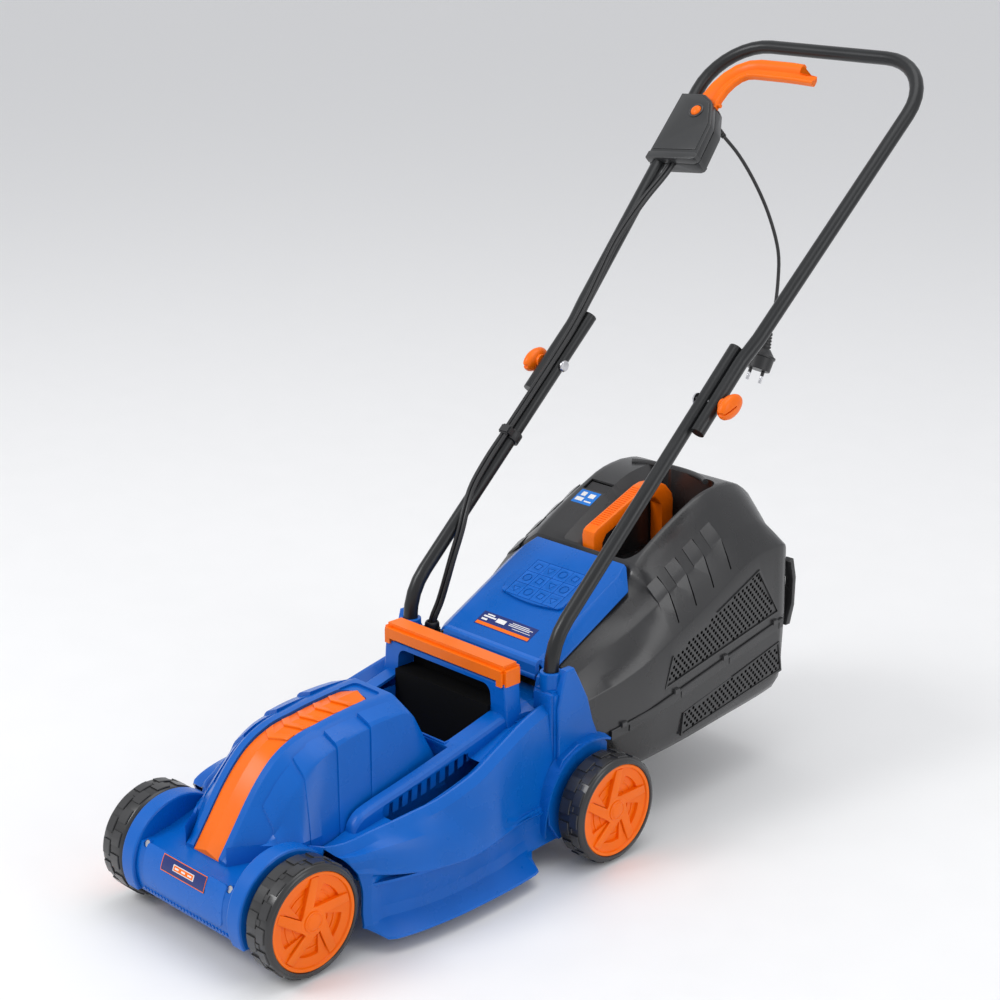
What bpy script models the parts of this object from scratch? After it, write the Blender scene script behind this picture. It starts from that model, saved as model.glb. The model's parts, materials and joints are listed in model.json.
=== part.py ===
"""Electric rotary lawn mower with a rear grass box, a folding handle and a motor pigtail cord.

Metres, +Z up. The design frame has its zero under the front axle, on the mower's middle plane: +X is the
operator's left and +Y is towards the operator. One empty carries that frame, so that the finished object
stands with its origin at the middle of its footprint, on the ground.
"""

from math import atan, atan2, cos, pi, radians, sin, sqrt, tan

import bmesh
import bpy
from mathutils import Matrix, Vector

# ---------------------------------------------------------------- driving dimensions
FOOTPRINT_MIDDLE_Y = 0.5103
GAP = 0.0004

WHEEL_RADIUS = 0.070
RIM_RADIUS = 0.0598
TYRE_WIDTH = 0.042
FRONT_WHEEL_OUTER_X = 0.1585
REAR_WHEEL_OUTER_X = 0.2076
WHEELBASE = 0.4486
AXLE_RADIUS = 0.005
AXLE_HEIGHT = WHEEL_RADIUS
HEIGHT_TRAVEL = 0.040

MOTOR_Y = 0.205
BLADE_RADIUS = 0.160
BLADE_Z = 0.023
CEILING_Z = 0.082
WALL = 0.003

TUBE_RADIUS = 0.0095
LOWER_TUBE_X = 0.1285
LOWER_TUBE_Y = 0.408
LOWER_TUBE_FOOT_Z = 0.137
LOWER_TUBE_TOP = (0.7463, 0.5957)
LOWER_SLOPE = 0.9282
UPPER_END_X = 0.1485
UPPER_SLOPE = 1.0081
PIVOT_Y, PIVOT_Z = 0.684, 0.5378
CROSSBAR_Y, CROSSBAR_Z = 1.0827, 0.9345
CROSSBAR_CORNER_X = 0.1869
CORNER_RADIUS = 0.0821

FLAP_Y, FLAP_Z = 0.4447, 0.2494
FLAP_SLOPE = 0.510
FLAP_ROD = (0.425, 0.2215)

BOX_HALF_WIDTH = 0.165
BOX_REAR_Y = 0.846
CORD_DIAMETER = 0.0052
CABLE_DIAMETER = 0.0060

# ---------------------------------------------------------------- scene, collections and materials
for old in list(bpy.data.objects):
    bpy.data.objects.remove(old)

PARTS = bpy.data.collections.new("lawn_mower")
CUTTERS = bpy.data.collections.new("cutters")
bpy.context.scene.collection.children.link(PARTS)
bpy.context.scene.collection.children.link(CUTTERS)

ORIGIN = bpy.data.objects.new("mower_origin", None)
ORIGIN.location = (0, -FOOTPRINT_MIDDLE_Y, 0)
PARTS.objects.link(ORIGIN)
bpy.context.view_layer.update()


def material(name, colour, roughness, metallic=0.0):
    mat = bpy.data.materials.new(name)
    mat.use_nodes = True
    shader = mat.node_tree.nodes["Principled BSDF"]
    shader.inputs["Base Color"].default_value = (*colour, 1)
    shader.inputs["Roughness"].default_value = roughness
    shader.inputs["Metallic"].default_value = metallic
    mat.diffuse_color = (*colour, 1)
    return mat


BLUE = material("blue_plastic", (0.0, 0.12, 0.68), 0.35)
ORANGE = material("orange_plastic", (1.0, 0.20, 0.0), 0.40)
GREY = material("grey_plastic", (0.075, 0.075, 0.078), 0.50)
DARK = material("black_plastic", (0.020, 0.020, 0.022), 0.45)
RUBBER = material("rubber", (0.015, 0.015, 0.015), 0.60)
PAINT = material("tube_paint", (0.030, 0.033, 0.035), 0.40, 0.3)
STEEL = material("steel", (0.60, 0.60, 0.62), 0.30, 1.0)
COPPER = material("copper_winding", (0.65, 0.25, 0.10), 0.40, 1.0)


# ---------------------------------------------------------------- modelling helpers
def add_object(name, mesh, mat, pivot=(0, 0, 0)):
    """A sub-part whose mesh is given in the design frame and whose origin sits at its pivot."""
    mesh.transform(Matrix.Translation(-Vector(pivot)))
    obj = bpy.data.objects.new(name, mesh)
    obj.location = pivot
    obj.parent = ORIGIN
    mesh.materials.clear()
    mesh.materials.append(mat)
    PARTS.objects.link(obj)
    return obj


def shade(obj, angle=35):
    obj.data.shade_smooth()
    obj.data.set_sharp_from_angle(angle=radians(angle))
    return obj


def mesh_from(bm, name="piece"):
    bmesh.ops.recalc_face_normals(bm, faces=bm.faces)
    mesh = bpy.data.meshes.new(name)
    bm.to_mesh(mesh)
    bm.free()
    return mesh


def box_mesh(low, high, bevel=0.0):
    bm = bmesh.new()
    size = [b - a for a, b in zip(low, high)]
    middle = [(a + b) / 2 for a, b in zip(low, high)]
    bmesh.ops.create_cube(bm, size=1)
    bmesh.ops.scale(bm, vec=size, verts=bm.verts)
    if bevel:
        bmesh.ops.bevel(bm, geom=bm.edges, offset=bevel, segments=2, affect="EDGES")
    bmesh.ops.translate(bm, vec=middle, verts=bm.verts)
    return mesh_from(bm)


AXIS_TURN = {
    "X": Matrix.Rotation(pi / 2, 4, "Y"),
    "Y": Matrix.Rotation(-pi / 2, 4, "X"),
    "Z": Matrix.Identity(4),
}


def rod_mesh(start, axis, length, radius, sides=16, end_radius=None):
    """A cylinder or cone from start along +axis; axis is a letter or a direction."""
    turn = AXIS_TURN.get(axis) if isinstance(axis, str) else Vector(axis).to_track_quat("Z", "Y").to_matrix().to_4x4()
    bm = bmesh.new()
    bmesh.ops.create_cone(
        bm, cap_ends=True, segments=sides, radius1=radius, radius2=end_radius or radius, depth=length
    )
    bmesh.ops.translate(bm, vec=(0, 0, length / 2), verts=bm.verts)
    bmesh.ops.transform(bm, matrix=Matrix.Translation(start) @ turn, verts=bm.verts)
    return mesh_from(bm)


def turned(name, profile, mat, centre, axis="Z", steps=32, closed=False):
    """A profile of (radius, height) points, running down the outer side, turned about the axis."""
    mesh = bpy.data.meshes.new(name)
    edges = [(i, i + 1) for i in range(len(profile) - 1)]
    if closed:
        edges.append((len(profile) - 1, 0))
    mesh.from_pydata([(r, 0, h) for r, h in profile], edges, [])
    obj = bpy.data.objects.new(name, mesh)
    obj.location = centre
    obj.parent = ORIGIN
    if axis == "X":
        obj.rotation_euler = (0, pi / 2, 0)
    if axis == "-X":
        obj.rotation_euler = (0, -pi / 2, 0)
    mesh.materials.append(mat)
    PARTS.objects.link(obj)
    screw = obj.modifiers.new("turn", "SCREW")
    screw.steps = screw.render_steps = steps
    screw.use_merge_vertices = True
    screw.merge_threshold = 1e-5
    screw.use_smooth_shade = True
    return obj


def arc(centre, radius, start, end, steps):
    """Points on an arc in a plane, angles in degrees."""
    for i in range(steps + 1):
        a = radians(start + (end - start) * i / steps)
        yield (centre[0] + radius * cos(a), centre[1] + radius * sin(a))


def plate_mesh(outline, plane, low, high, holes=()):
    """A flat outline with holes, given thickness from low to high across its plane."""
    curve = bpy.data.curves.new("outline", "CURVE")
    curve.dimensions = "2D"
    curve.fill_mode = "BOTH"
    curve.extrude = (high - low) / 2
    for ring in (outline, *holes):
        points = list(ring)
        spline = curve.splines.new("POLY")
        spline.points.add(len(points) - 1)
        for point, (u, v) in zip(spline.points, points):
            point.co = (u, v, 0, 1)
        spline.use_cyclic_u = True
    mesh = curve_to_mesh(curve)
    middle = (low + high) / 2
    turn = {
        "XY": Matrix.Translation((0, 0, middle)),
        "XZ": Matrix.Translation((0, middle, 0)) @ Matrix.Rotation(pi / 2, 4, "X"),
        "YZ": Matrix.Translation((middle, 0, 0)) @ Matrix(((0, 0, 1, 0), (1, 0, 0, 0), (0, 1, 0, 0), (0, 0, 0, 1))),
    }[plane]
    mesh.transform(turn)
    return mesh


def curve_to_mesh(curve):
    """The solid mesh of a curve object, its loose caps welded."""
    holder = bpy.data.objects.new("curve_holder", curve)
    PARTS.objects.link(holder)
    bpy.context.view_layer.update()
    mesh = bpy.data.meshes.new_from_object(holder.evaluated_get(bpy.context.evaluated_depsgraph_get()))
    bpy.data.objects.remove(holder)
    bm = bmesh.new()
    bm.from_mesh(mesh)
    bmesh.ops.remove_doubles(bm, verts=bm.verts, dist=1e-6)
    bmesh.ops.recalc_face_normals(bm, faces=bm.faces)
    bm.to_mesh(mesh)
    bm.free()
    return mesh


def tube_mesh(points, radius, resolution=3):
    """A round tube along points, with filled caps."""
    curve = bpy.data.curves.new("tube", "CURVE")
    curve.dimensions = "3D"
    curve.bevel_depth = radius
    curve.bevel_resolution = resolution
    curve.use_fill_caps = True
    spline = curve.splines.new("POLY")
    spline.points.add(len(points) - 1)
    for point, place in zip(spline.points, points):
        point.co = (*place, 1)
    return curve_to_mesh(curve)


def rounded_path(corners, radii):
    """A path through corner points, each inner corner turned on an arc of its radius."""
    corners = [Vector(c) for c in corners]
    path = [corners[0]]
    for before, corner, after, radius in zip(corners, corners[1:], corners[2:], radii):
        a = (before - corner).normalized()
        b = (after - corner).normalized()
        half = a.angle(b) / 2
        reach = radius / tan(half)
        centre = corner + (a + b).normalized() * (radius / sin(half))
        first = corner + a * reach - centre
        last = corner + b * reach - centre
        steps = max(1, round(first.angle(last) / radians(11)))
        for i in range(steps + 1):
            path.append(centre + first.slerp(last, i / steps).normalized() * radius)
    path.append(corners[-1])
    return path


def smooth_path(route, spacing):
    """Points evenly spaced along a smooth curve (centripetal Catmull-Rom) through the route's points."""
    route = [Vector(p) for p in route]
    ends = [route[0] * 2 - route[1], *route, route[-1] * 2 - route[-2]]
    fine = []
    for p0, p1, p2, p3 in zip(ends, ends[1:], ends[2:], ends[3:]):
        knots = [0.0]
        for a, b in ((p0, p1), (p1, p2), (p2, p3)):
            knots.append(knots[-1] + sqrt((b - a).length))
        for i in range(24):
            t = knots[1] + (knots[2] - knots[1]) * i / 24
            a1 = p0.lerp(p1, (t - knots[0]) / (knots[1] - knots[0]))
            a2 = p1.lerp(p2, (t - knots[1]) / (knots[2] - knots[1]))
            a3 = p2.lerp(p3, (t - knots[2]) / (knots[3] - knots[2]))
            b1 = a1.lerp(a2, (t - knots[0]) / (knots[2] - knots[0]))
            b2 = a2.lerp(a3, (t - knots[1]) / (knots[3] - knots[1]))
            fine.append(b1.lerp(b2, (t - knots[1]) / (knots[2] - knots[1])))
    fine.append(route[-1])
    length = sum((b - a).length for a, b in zip(fine, fine[1:]))
    count = max(2, round(length / spacing))
    step, walked, path = length / count, 0.0, [fine[0]]
    for a, b in zip(fine, fine[1:]):
        piece = (b - a).length
        while walked + piece >= step * len(path) and len(path) < count:
            path.append(a.lerp(b, (step * len(path) - walked) / piece))
        walked += piece
    path.append(fine[-1])
    return path


def loft_mesh(sections):
    """A closed solid through rings of equally many points, capped at both ends."""
    bm = bmesh.new()
    rings = [[bm.verts.new(p) for p in ring] for ring in sections]
    for low, high in zip(rings, rings[1:]):
        for i in range(len(low)):
            j = (i + 1) % len(low)
            bm.faces.new((low[i], low[j], high[j], high[i]))
    bm.faces.new(rings[0])
    bm.faces.new(rings[-1][::-1])
    bmesh.ops.triangulate(bm, faces=bm.faces)
    return mesh_from(bm)


def mirrored_ring(y, half):
    """A closed ring across the middle plane from its right half, given as (x, z) from top to bottom."""
    right = [(x, y, z) for x, z in half]
    left = [(-x, y, z) for x, z in reversed(half) if x > 1e-6]
    return right + left


# The exact solver loses the thin walls between two lofts, so these shells use the other one.
MANIFOLD_SHELLS = ("deck_shell", "motor_hood", "rear_flap", "box_lower_shell", "box_upper_shell")


def boolean(obj, operation, mesh):
    """Joins a mesh to an object, or cuts it away. The operand stays as a hidden helper."""
    helper = bpy.data.objects.new(obj.name + "_" + operation.lower(), mesh)
    helper.parent = ORIGIN
    helper.hide_render = True
    helper.display_type = "WIRE"
    CUTTERS.objects.link(helper)
    modifier = obj.modifiers.new(operation.lower(), "BOOLEAN")
    modifier.operation = operation
    modifier.object = helper
    if obj.name in MANIFOLD_SHELLS:
        modifier.solver = "MANIFOLD"
    return obj


def join(obj, *meshes):
    for mesh in meshes:
        boolean(obj, "UNION", mesh)
    return obj


def cut(obj, *meshes):
    for mesh in meshes:
        boolean(obj, "DIFFERENCE", mesh)
    return obj


def between(table, y):
    """A value read from (y, value) pairs by straight interpolation."""
    for (y0, v0), (y1, v1) in zip(table, table[1:]):
        if y <= y1:
            return v0 + (v1 - v0) * (y - y0) / (y1 - y0)
    return table[-1][1]


# ---------------------------------------------------------------- deck
RIDGE_X = (
    (0.037, 0.022), (0.050, 0.062), (0.062, 0.088), (0.078, 0.108), (0.10, 0.135), (0.15, 0.143),
    (0.20, 0.148), (0.25, 0.147), (0.30, 0.141), (0.36, 0.133), (0.46, 0.130),
)
RIDGE_Z = (
    (0.037, 0.1235), (0.05, 0.127), (0.078, 0.131), (0.10, 0.138), (0.15, 0.146), (0.20, 0.152),
    (0.25, 0.163), (0.30, 0.178), (0.36, 0.196), (0.42, 0.205), (0.46, 0.190),
)
SIDE_X = (
    (0.037, 0.030), (0.050, 0.073), (0.062, 0.098), (0.078, 0.126), (0.10, 0.150), (0.13, 0.168),
    (0.17, 0.178), (0.21, 0.181), (0.25, 0.178), (0.30, 0.168), (0.34, 0.156), (0.46, 0.154),
)
DECK_STATIONS = (0.037, 0.0486, 0.062, 0.078, 0.10, 0.13, 0.17, 0.21, 0.25, 0.30, 0.345, 0.385, 0.425)
DECK_REAR_Y = 0.425
SKIRT_Z = 0.018
CHUTE_HALF_WIDTH, CHUTE_LOW_Z, CHUTE_HIGH_Z = 0.100, 0.122, 0.188


def deck_half(y, inset):
    """Half of the deck's cross-section, from the middle of its top down to the skirt."""
    side_x = between(SIDE_X, y)
    ridge_x = between(RIDGE_X, y)
    ridge_z = between(RIDGE_Z, y)
    flare = 0.012 if 0.09 < y < 0.345 else 0.002
    bottom = SKIRT_Z - 0.013 if inset else SKIRT_Z
    return [
        (0, ridge_z - 0.003 - inset),
        (ridge_x - 0.004 - inset, ridge_z - inset),
        (ridge_x + 0.005 - inset, ridge_z - 0.008 - inset * 0.6),
        (side_x - 0.003 - inset, 0.112),
        (side_x - inset, 0.084),
        (side_x - 0.006 - inset, 0.058),
        (side_x - 0.002 - inset, 0.040),
        (side_x + flare - inset, bottom),
        (0, bottom),
    ]


# The room inside the deck starts with an evenly curved ring, across the front wall.
FRONT_ROOM_X = (0, 0.0240, 0.0280, 0.0300, 0.0308, 0.0312, 0.0314, 0.0315, 0)


def deck_solid(inset):
    rings = [mirrored_ring(y, deck_half(y, inset)) for y in DECK_STATIONS]
    if inset:
        y = DECK_STATIONS[0] + inset
        rings[0] = mirrored_ring(y, [(x, z) for x, (_, z) in zip(FRONT_ROOM_X, deck_half(y, inset))])
        y = DECK_STATIONS[-1] - inset
        rings[-1] = mirrored_ring(y, deck_half(y, inset))
    return loft_mesh(rings)


NOSE_RADIUS, LIP_RADIUS = 0.0665, 0.0715
LEDGE_HALF_WIDTH, CHEEK_OUTER_X = 0.0885, 0.1125
NOSE_BOTTOM_Z = 0.040


def degrees_of(sine):
    return atan2(sine, sqrt(1 - sine * sine)) * 180 / pi


def nose_outline(radius, back_y, floor_z):
    """Side view of a drum about the front axle, open below and running back into the deck."""
    start = 180 - degrees_of((floor_z - AXLE_HEIGHT) / radius)
    end = atan2(sqrt(radius * radius - back_y * back_y), back_y) * 180 / pi
    return [*arc((0, AXLE_HEIGHT), radius, start, end, 14), (back_y, floor_z)]


VALLEY = ((-0.028, 0.106), (0.046, 0.127), (0.12, 0.131))


def valley():
    """The hollow on top of the nose, between the wheel cheeks, from which the hood rises."""
    outline = [(-0.09, VALLEY[0][1]), *VALLEY, (0.12, 0.20), (-0.09, 0.20)]
    return plate_mesh(outline, "YZ", -LEDGE_HALF_WIDTH, LEDGE_HALF_WIDTH)


def nose_cavity():
    """The room inside the nose, for the front axle."""
    front = list(arc((0, AXLE_HEIGHT), NOSE_RADIUS - WALL, 215, 149, 8))
    roof = [(VALLEY[0][0], VALLEY[0][1] - WALL), (0.028, 0.1195)]
    return plate_mesh(front + roof + [(0.028, -0.01), (-0.052, -0.01)], "YZ", -0.0855, 0.0855)


def cheek(side, inset):
    """A rounded side cheek that follows the front wheel; with an inset, the room inside it."""
    low, high = sorted((side * (LEDGE_HALF_WIDTH + inset), side * (CHEEK_OUTER_X - inset)))
    floor = NOSE_BOTTOM_Z - (0.02 if inset else 0)
    back = 0.0512 if inset else 0.068
    return plate_mesh(nose_outline(LIP_RADIUS - inset, back, floor), "YZ", low, high)


def axle_slot(y):
    """The upright slot in which an axle is set to one of three heights."""
    half = AXLE_RADIUS + 0.0005
    low = AXLE_HEIGHT - HEIGHT_TRAVEL
    outline = [*arc((y, AXLE_HEIGHT), half, 0, 180, 6), *arc((y, low), half, 180, 360, 6)]
    return plate_mesh(outline, "YZ", -0.17, 0.17)


def axle_way(y):
    """The wider gap in the nose's thin walls, on both sides of the height bracket."""
    half = AXLE_RADIUS + 0.0045
    outline = [*arc((y, AXLE_HEIGHT), half, 0, 180, 6), (y - half, -0.02), (y + half, -0.02)]
    return plate_mesh(outline, "YZ", -0.14, 0.14)


def height_bracket(side, low_x, high_x, y, top_z):
    """A plate with the three axle heights; it reaches lower than the deck around it."""
    low, high = sorted((side * low_x, side * high_x))
    return plate_mesh([(y - 0.014, 0.019), (y + 0.014, 0.019), (y + 0.014, top_z), (y - 0.014, top_z)], "YZ", low, high)


PLATFORM_Z = ((0.10, 0.142), (0.14, 0.152), (0.18, 0.161), (0.24, 0.174), (0.30, 0.188), (0.36, 0.202), (0.39, 0.206))


def platform(inset):
    """The raised middle of the deck that carries the hood and ends under the carry handle."""
    rings = []
    for y in (0.10 + inset, 0.14, 0.18, 0.24, 0.30, 0.36, 0.388 - inset):
        top = between(PLATFORM_Z, y) - inset
        low = CEILING_Z + 0.02 - inset
        half = [(0, top), (0.106 - inset, top), (0.114 - inset, top - 0.010), (0.118 - inset, low), (0, low)]
        rings.append(mirrored_ring(y, half))
    return loft_mesh(rings)


def ceiling_plate():
    """The flat roof of the blade chamber, on which the motor stands."""
    edge = [(between(SIDE_X, y) - 0.0015, y) for y in DECK_STATIONS[:-2]]
    edge.append((0.1535, 0.362))
    edge[0] = (edge[0][0], edge[0][1] + 0.001)
    return plate_mesh(edge + [(-x, y) for x, y in reversed(edge)], "XY", CEILING_Z, CEILING_Z + WALL)


def bulkhead():
    """The wall between the motor room and the grass chute."""
    outline = [(-0.1525, CEILING_Z + 0.001), (-0.130, 0.190), (0.130, 0.190), (0.1525, CEILING_Z + 0.001)]
    return plate_mesh(outline, "XZ", 0.3585, 0.3615)


WELL_LOW_Y, WELL_HIGH_Y, WELL_FLOOR_Z = 0.268, 0.3425, 0.122


def well(wall):
    """The deep space behind the hood, under the carry handle."""
    high = 0.30 if not wall else 0.182
    low = (-0.085 - wall, WELL_LOW_Y - wall, WELL_FLOOR_Z - wall)
    return box_mesh(low, (0.085 + wall, WELL_HIGH_Y + wall, high))


def motor_opening():
    return box_mesh((-0.0955, 0.050, CEILING_Z + WALL + 0.02), (0.0955, 0.2635, 0.30))


def chute(wall, low_y, high_y):
    """The duct through which the cut grass is blown into the box."""
    low = (-CHUTE_HALF_WIDTH - wall, low_y, CHUTE_LOW_Z - wall)
    return box_mesh(low, (CHUTE_HALF_WIDTH + wall, high_y, CHUTE_HIGH_Z + wall))


CARRY_LOW_Y, CARRY_HIGH_Y = 0.3465, 0.373
GRIP_FOOT_Z = 0.2375


def carry_arch():
    """The hand loop behind the hood: two legs, a bar, and the tenon that the grip cap covers."""
    outline = [(-0.112, 0.17), (-0.1095, GRIP_FOOT_Z), (0.1095, GRIP_FOOT_Z), (0.112, 0.17)]
    legs = plate_mesh(outline, "XZ", CARRY_LOW_Y, CARRY_HIGH_Y)
    tenon = box_mesh((-0.104, CARRY_LOW_Y + 0.003, 0.22), (0.104, CARRY_HIGH_Y - 0.003, 0.256), bevel=0.002)
    return legs, tenon


def carry_opening():
    right = [(0.0845, 0.2068), (0.0825, 0.218), (0.066, 0.2325)]
    outline = right + [(-x, z) for x, z in reversed(right)]
    return plate_mesh(outline, "XZ", CARRY_LOW_Y - 0.02, CARRY_HIGH_Y + 0.02)


def tube_socket(side):
    return rod_mesh((side * LOWER_TUBE_X, LOWER_TUBE_Y, 0.119), "Z", 0.1275, 0.0142, 20)


def socket_block(side):
    low = (min(side * 0.1115, side * 0.1495), 0.391, 0.100)
    high = (max(side * 0.1115, side * 0.1495), 0.4235, 0.232)
    return box_mesh(low, high, bevel=0.003)


BRACKET_LOW_X, BRACKET_HIGH_X = 0.1530, 0.1600


def axle_bracket(side):
    """The rear side plate with the slot for the rear axle."""
    outline = [(0.40, 0.040), (0.40, 0.165), (0.462, 0.165), (0.478, 0.145), (0.478, 0.040)]
    low, high = sorted((side * BRACKET_LOW_X, side * BRACKET_HIGH_X))
    return plate_mesh(outline, "YZ", low, high)


FLAP_ROD_RADIUS = 0.0025
LUG_LOW_X, LUG_HIGH_X = 0.0925, 0.1005


def flap_lug(side):
    """A lug on the rear wall that holds one end of the flap's rod."""
    y, z = FLAP_ROD
    outline = [(y - 0.018, 0.180), (y - 0.0065, z), *arc((y, z), 0.0065, 150, 0, 6), (y - 0.002, 0.180)]
    low, high = sorted((side * LUG_LOW_X, side * LUG_HIGH_X))
    return plate_mesh(outline, "YZ", low, high)


GLAND = (-0.1215, 0.4400, 0.2055)


def gland_shelf():
    """The small shelf behind the left socket that carries the motor cable's gland."""
    return box_mesh((-0.134, 0.420, 0.196), (-0.109, 0.4525, 0.205), bevel=0.001)


SCREW_X, SCREW_Y, SCREW_Z = 0.0785, -0.0575, 0.1030
SCREW_DIRECTION = Vector((0, 0.867, -0.4983))


def nose_screw_boss(side):
    start = Vector((side * SCREW_X, SCREW_Y, SCREW_Z)) + SCREW_DIRECTION * 0.0010
    return rod_mesh(start, SCREW_DIRECTION, 0.013, 0.0055, 12)


def nose_screw_hole(side, radius, length):
    start = Vector((side * SCREW_X, SCREW_Y, SCREW_Z)) - SCREW_DIRECTION * 0.012
    return rod_mesh(start, SCREW_DIRECTION, length, radius, 12)


def make_deck():
    deck = add_object("deck_shell", deck_solid(0), BLUE)
    nose = plate_mesh(nose_outline(NOSE_RADIUS, 0.045, NOSE_BOTTOM_Z), "YZ", -0.095, 0.095)
    join(deck, nose, cheek(-1, 0), cheek(1, 0))
    cut(deck, valley())
    join(deck, platform(0))
    cut(deck, deck_solid(WALL), platform(WALL), nose_cavity(), cheek(-1, WALL), cheek(1, WALL))
    join(deck, ceiling_plate(), bulkhead(), well(WALL), *carry_arch())
    join(deck, chute(WALL, 0.4235, 0.4525))
    for side in (-1, 1):
        join(deck, tube_socket(side), socket_block(side), flap_lug(side), axle_bracket(side))
        join(deck, nose_screw_boss(side))
        join(deck, height_bracket(side, BRACKET_LOW_X, BRACKET_HIGH_X, WHEELBASE, 0.10))
    join(deck, gland_shelf())
    cut(deck, carry_opening(), well(0), motor_opening())
    cut(deck, chute(0, 0.3775, 0.470))
    for side in (-1, 1):
        foot = (side * LOWER_TUBE_X, LOWER_TUBE_Y, LOWER_TUBE_FOOT_Z - GAP)
        cut(deck, rod_mesh(foot, "Z", 0.16, TUBE_RADIUS + GAP, 20))
        cut(deck, nose_screw_hole(side, 0.0046, 0.016), nose_screw_hole(side, 0.0022, 0.045))
    cut(deck, axle_way(0.0))
    for side in (-1, 1):
        join(deck, height_bracket(side, 0.1020, 0.1085, 0.0, 0.1395))
    cut(deck, axle_slot(0.0), axle_slot(WHEELBASE))
    cut(deck, rod_mesh((-0.14, *FLAP_ROD), "X", 0.28, FLAP_ROD_RADIUS + GAP, 12))
    cut(deck, rod_mesh((0, MOTOR_Y, CEILING_Z - 0.01), "Z", 0.03, 0.017, 24))
    cut(deck, rod_mesh((GLAND[0], GLAND[1], 0.18), "Z", 0.05, 0.0082, 16))
    return shade(deck, 30)


def make_carry_grip():
    """The soft cap over the carry handle's bar."""
    low = (-0.1106, 0.343, GRIP_FOOT_Z + GAP)
    grip = add_object("carry_grip", box_mesh(low, (0.1106, 0.3765, 0.2625), bevel=0.004), ORANGE)
    room_low = (-0.104 - GAP, CARRY_LOW_Y + 0.003 - GAP, 0.20)
    cut(grip, box_mesh(room_low, (0.104 + GAP, CARRY_HIGH_Y - 0.003 + GAP, 0.256 + GAP), bevel=0.0))
    return shade(grip)


def make_nose_screw(name, side):
    """A recessed screw in the nose: a flat head on a short shank."""
    start = Vector((side * SCREW_X, SCREW_Y, SCREW_Z))
    head = start + SCREW_DIRECTION * 0.0015
    screw = add_object(name, rod_mesh(head, SCREW_DIRECTION, 0.0022, 0.0042, 12), STEEL, start)
    join(screw, rod_mesh(head + SCREW_DIRECTION * 0.001, SCREW_DIRECTION, 0.012, 0.0018, 10))
    return shade(screw)


# ---------------------------------------------------------------- hood
HOOD_TOP = (
    (-0.030, 0.1125), (-0.027, 0.1165), (-0.008, 0.1436), (0.0153, 0.1764), (0.034, 0.198), (0.051, 0.213),
    (0.070, 0.2235), (0.095, 0.2316), (0.120, 0.2347), (0.145, 0.238), (0.205, 0.2424), (0.230, 0.2430),
    (0.248, 0.205), (0.2615, 0.172),
)
SHOULDER_X = ((-0.030, 0.0375), (-0.008, 0.050), (0.0153, 0.064), (0.046, 0.067), (0.230, 0.067), (0.2615, 0.076))
SHOULDER_Z = (
    (-0.030, 0.1095), (-0.008, 0.120), (0.0153, 0.1395), (0.034, 0.158), (0.051, 0.177), (0.0653, 0.192),
    (0.095, 0.2105), (0.1145, 0.2168), (0.1659, 0.2261), (0.215, 0.2285), (0.230, 0.2255), (0.248, 0.190),
    (0.2615, 0.160),
)
FOOT_X = ((-0.030, 0.039), (-0.008, 0.056), (0.0153, 0.074), (0.046, 0.0878), (0.0504, 0.0935), (0.27, 0.0948))
HOOD_STATIONS = (
    -0.030, -0.028, -0.027, -0.008, 0.0153, 0.034, 0.046, 0.0504, 0.0508, 0.070, 0.095, 0.120, 0.145, 0.205, 0.230,
    0.248, 0.2615,
)
STRIPE_HALF_WIDTH, STRIPE_DEPTH = 0.0232, 0.0065
STRIPE_REAR_Y = 0.2045
RIM_DROP = 0.002


def hood_foot_z(y):
    return between(VALLEY, max(y, -0.028)) + GAP if y < 0.0506 else 0.112


def hood_half(y, inset):
    top = between(HOOD_TOP, y) - RIM_DROP - (0.0085 if inset else 0)
    foot = 0.08 if inset else hood_foot_z(y)
    return [
        (0, top),
        (0.035, top - 0.001),
        (between(SHOULDER_X, y) - inset * 0.8, between(SHOULDER_Z, y) - inset),
        (between(FOOT_X, y) - inset, max(hood_foot_z(y) + 0.004, 0.131) - (0.001 if y < 0.05 else 0)),
        (between(FOOT_X, y) - inset, foot),
        (0, foot),
    ]


def make_hood():
    stations = [y for y in HOOD_STATIONS if 0.01 < y < 0.25]
    hollow = [mirrored_ring(y, hood_half(y, 0.003)) for y in (*stations, 0.2585)]
    hood = add_object("motor_hood", loft_mesh([mirrored_ring(y, hood_half(y, 0)) for y in HOOD_STATIONS]), BLUE)
    cut(hood, loft_mesh(hollow), stripe_solid(0.0004, 0.03))
    for side in (-1, 1):
        for y in (0.012, 0.040, 0.075, 0.125):
            join(hood, hood_step(side, y))
    return shade(hood, 25)


def hood_step(side, y):
    """One of the raised flats on the hood's shoulder."""
    z = between(SHOULDER_Z, y)
    length = 0.022 if y < 0.07 else 0.034
    rise = (between(SHOULDER_Z, y + length) - z) * 0.92
    points = []
    for dy, dz in ((0.0, -0.012), (0.0, 0.0012), (length, rise + 0.0012), (length, rise - 0.012)):
        points.append((y + dy, z + dz))
    low, high = sorted((side * 0.050, side * (between(SHOULDER_X, y) + 0.0022)))
    return plate_mesh(points, "YZ", low, high)


def stripe_solid(margin, rise):
    """The band over the hood's ridge; with a margin and a rise it is the groove that holds it."""
    rings = []
    rear = STRIPE_REAR_Y + margin
    lead = (-0.040, -0.0298) if rise else (-0.0298,)
    for y in (*lead, -0.027, -0.008, 0.0153, 0.034, 0.051, 0.070, 0.095, 0.120, 0.145, 0.190, rear):
        top = between(HOOD_TOP, max(y, -0.030))
        half_width = STRIPE_HALF_WIDTH + margin - (0.006 if y == rear else 0)
        floor = top - STRIPE_DEPTH - margin
        if rise:
            half = [(0, top + rise), (half_width, top + rise), (half_width, floor), (0, floor)]
        else:
            half = [(0, top), (half_width, top - 0.0035), (half_width, floor), (0, floor)]
        rings.append(mirrored_ring(y, half))
    return loft_mesh(rings)


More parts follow.
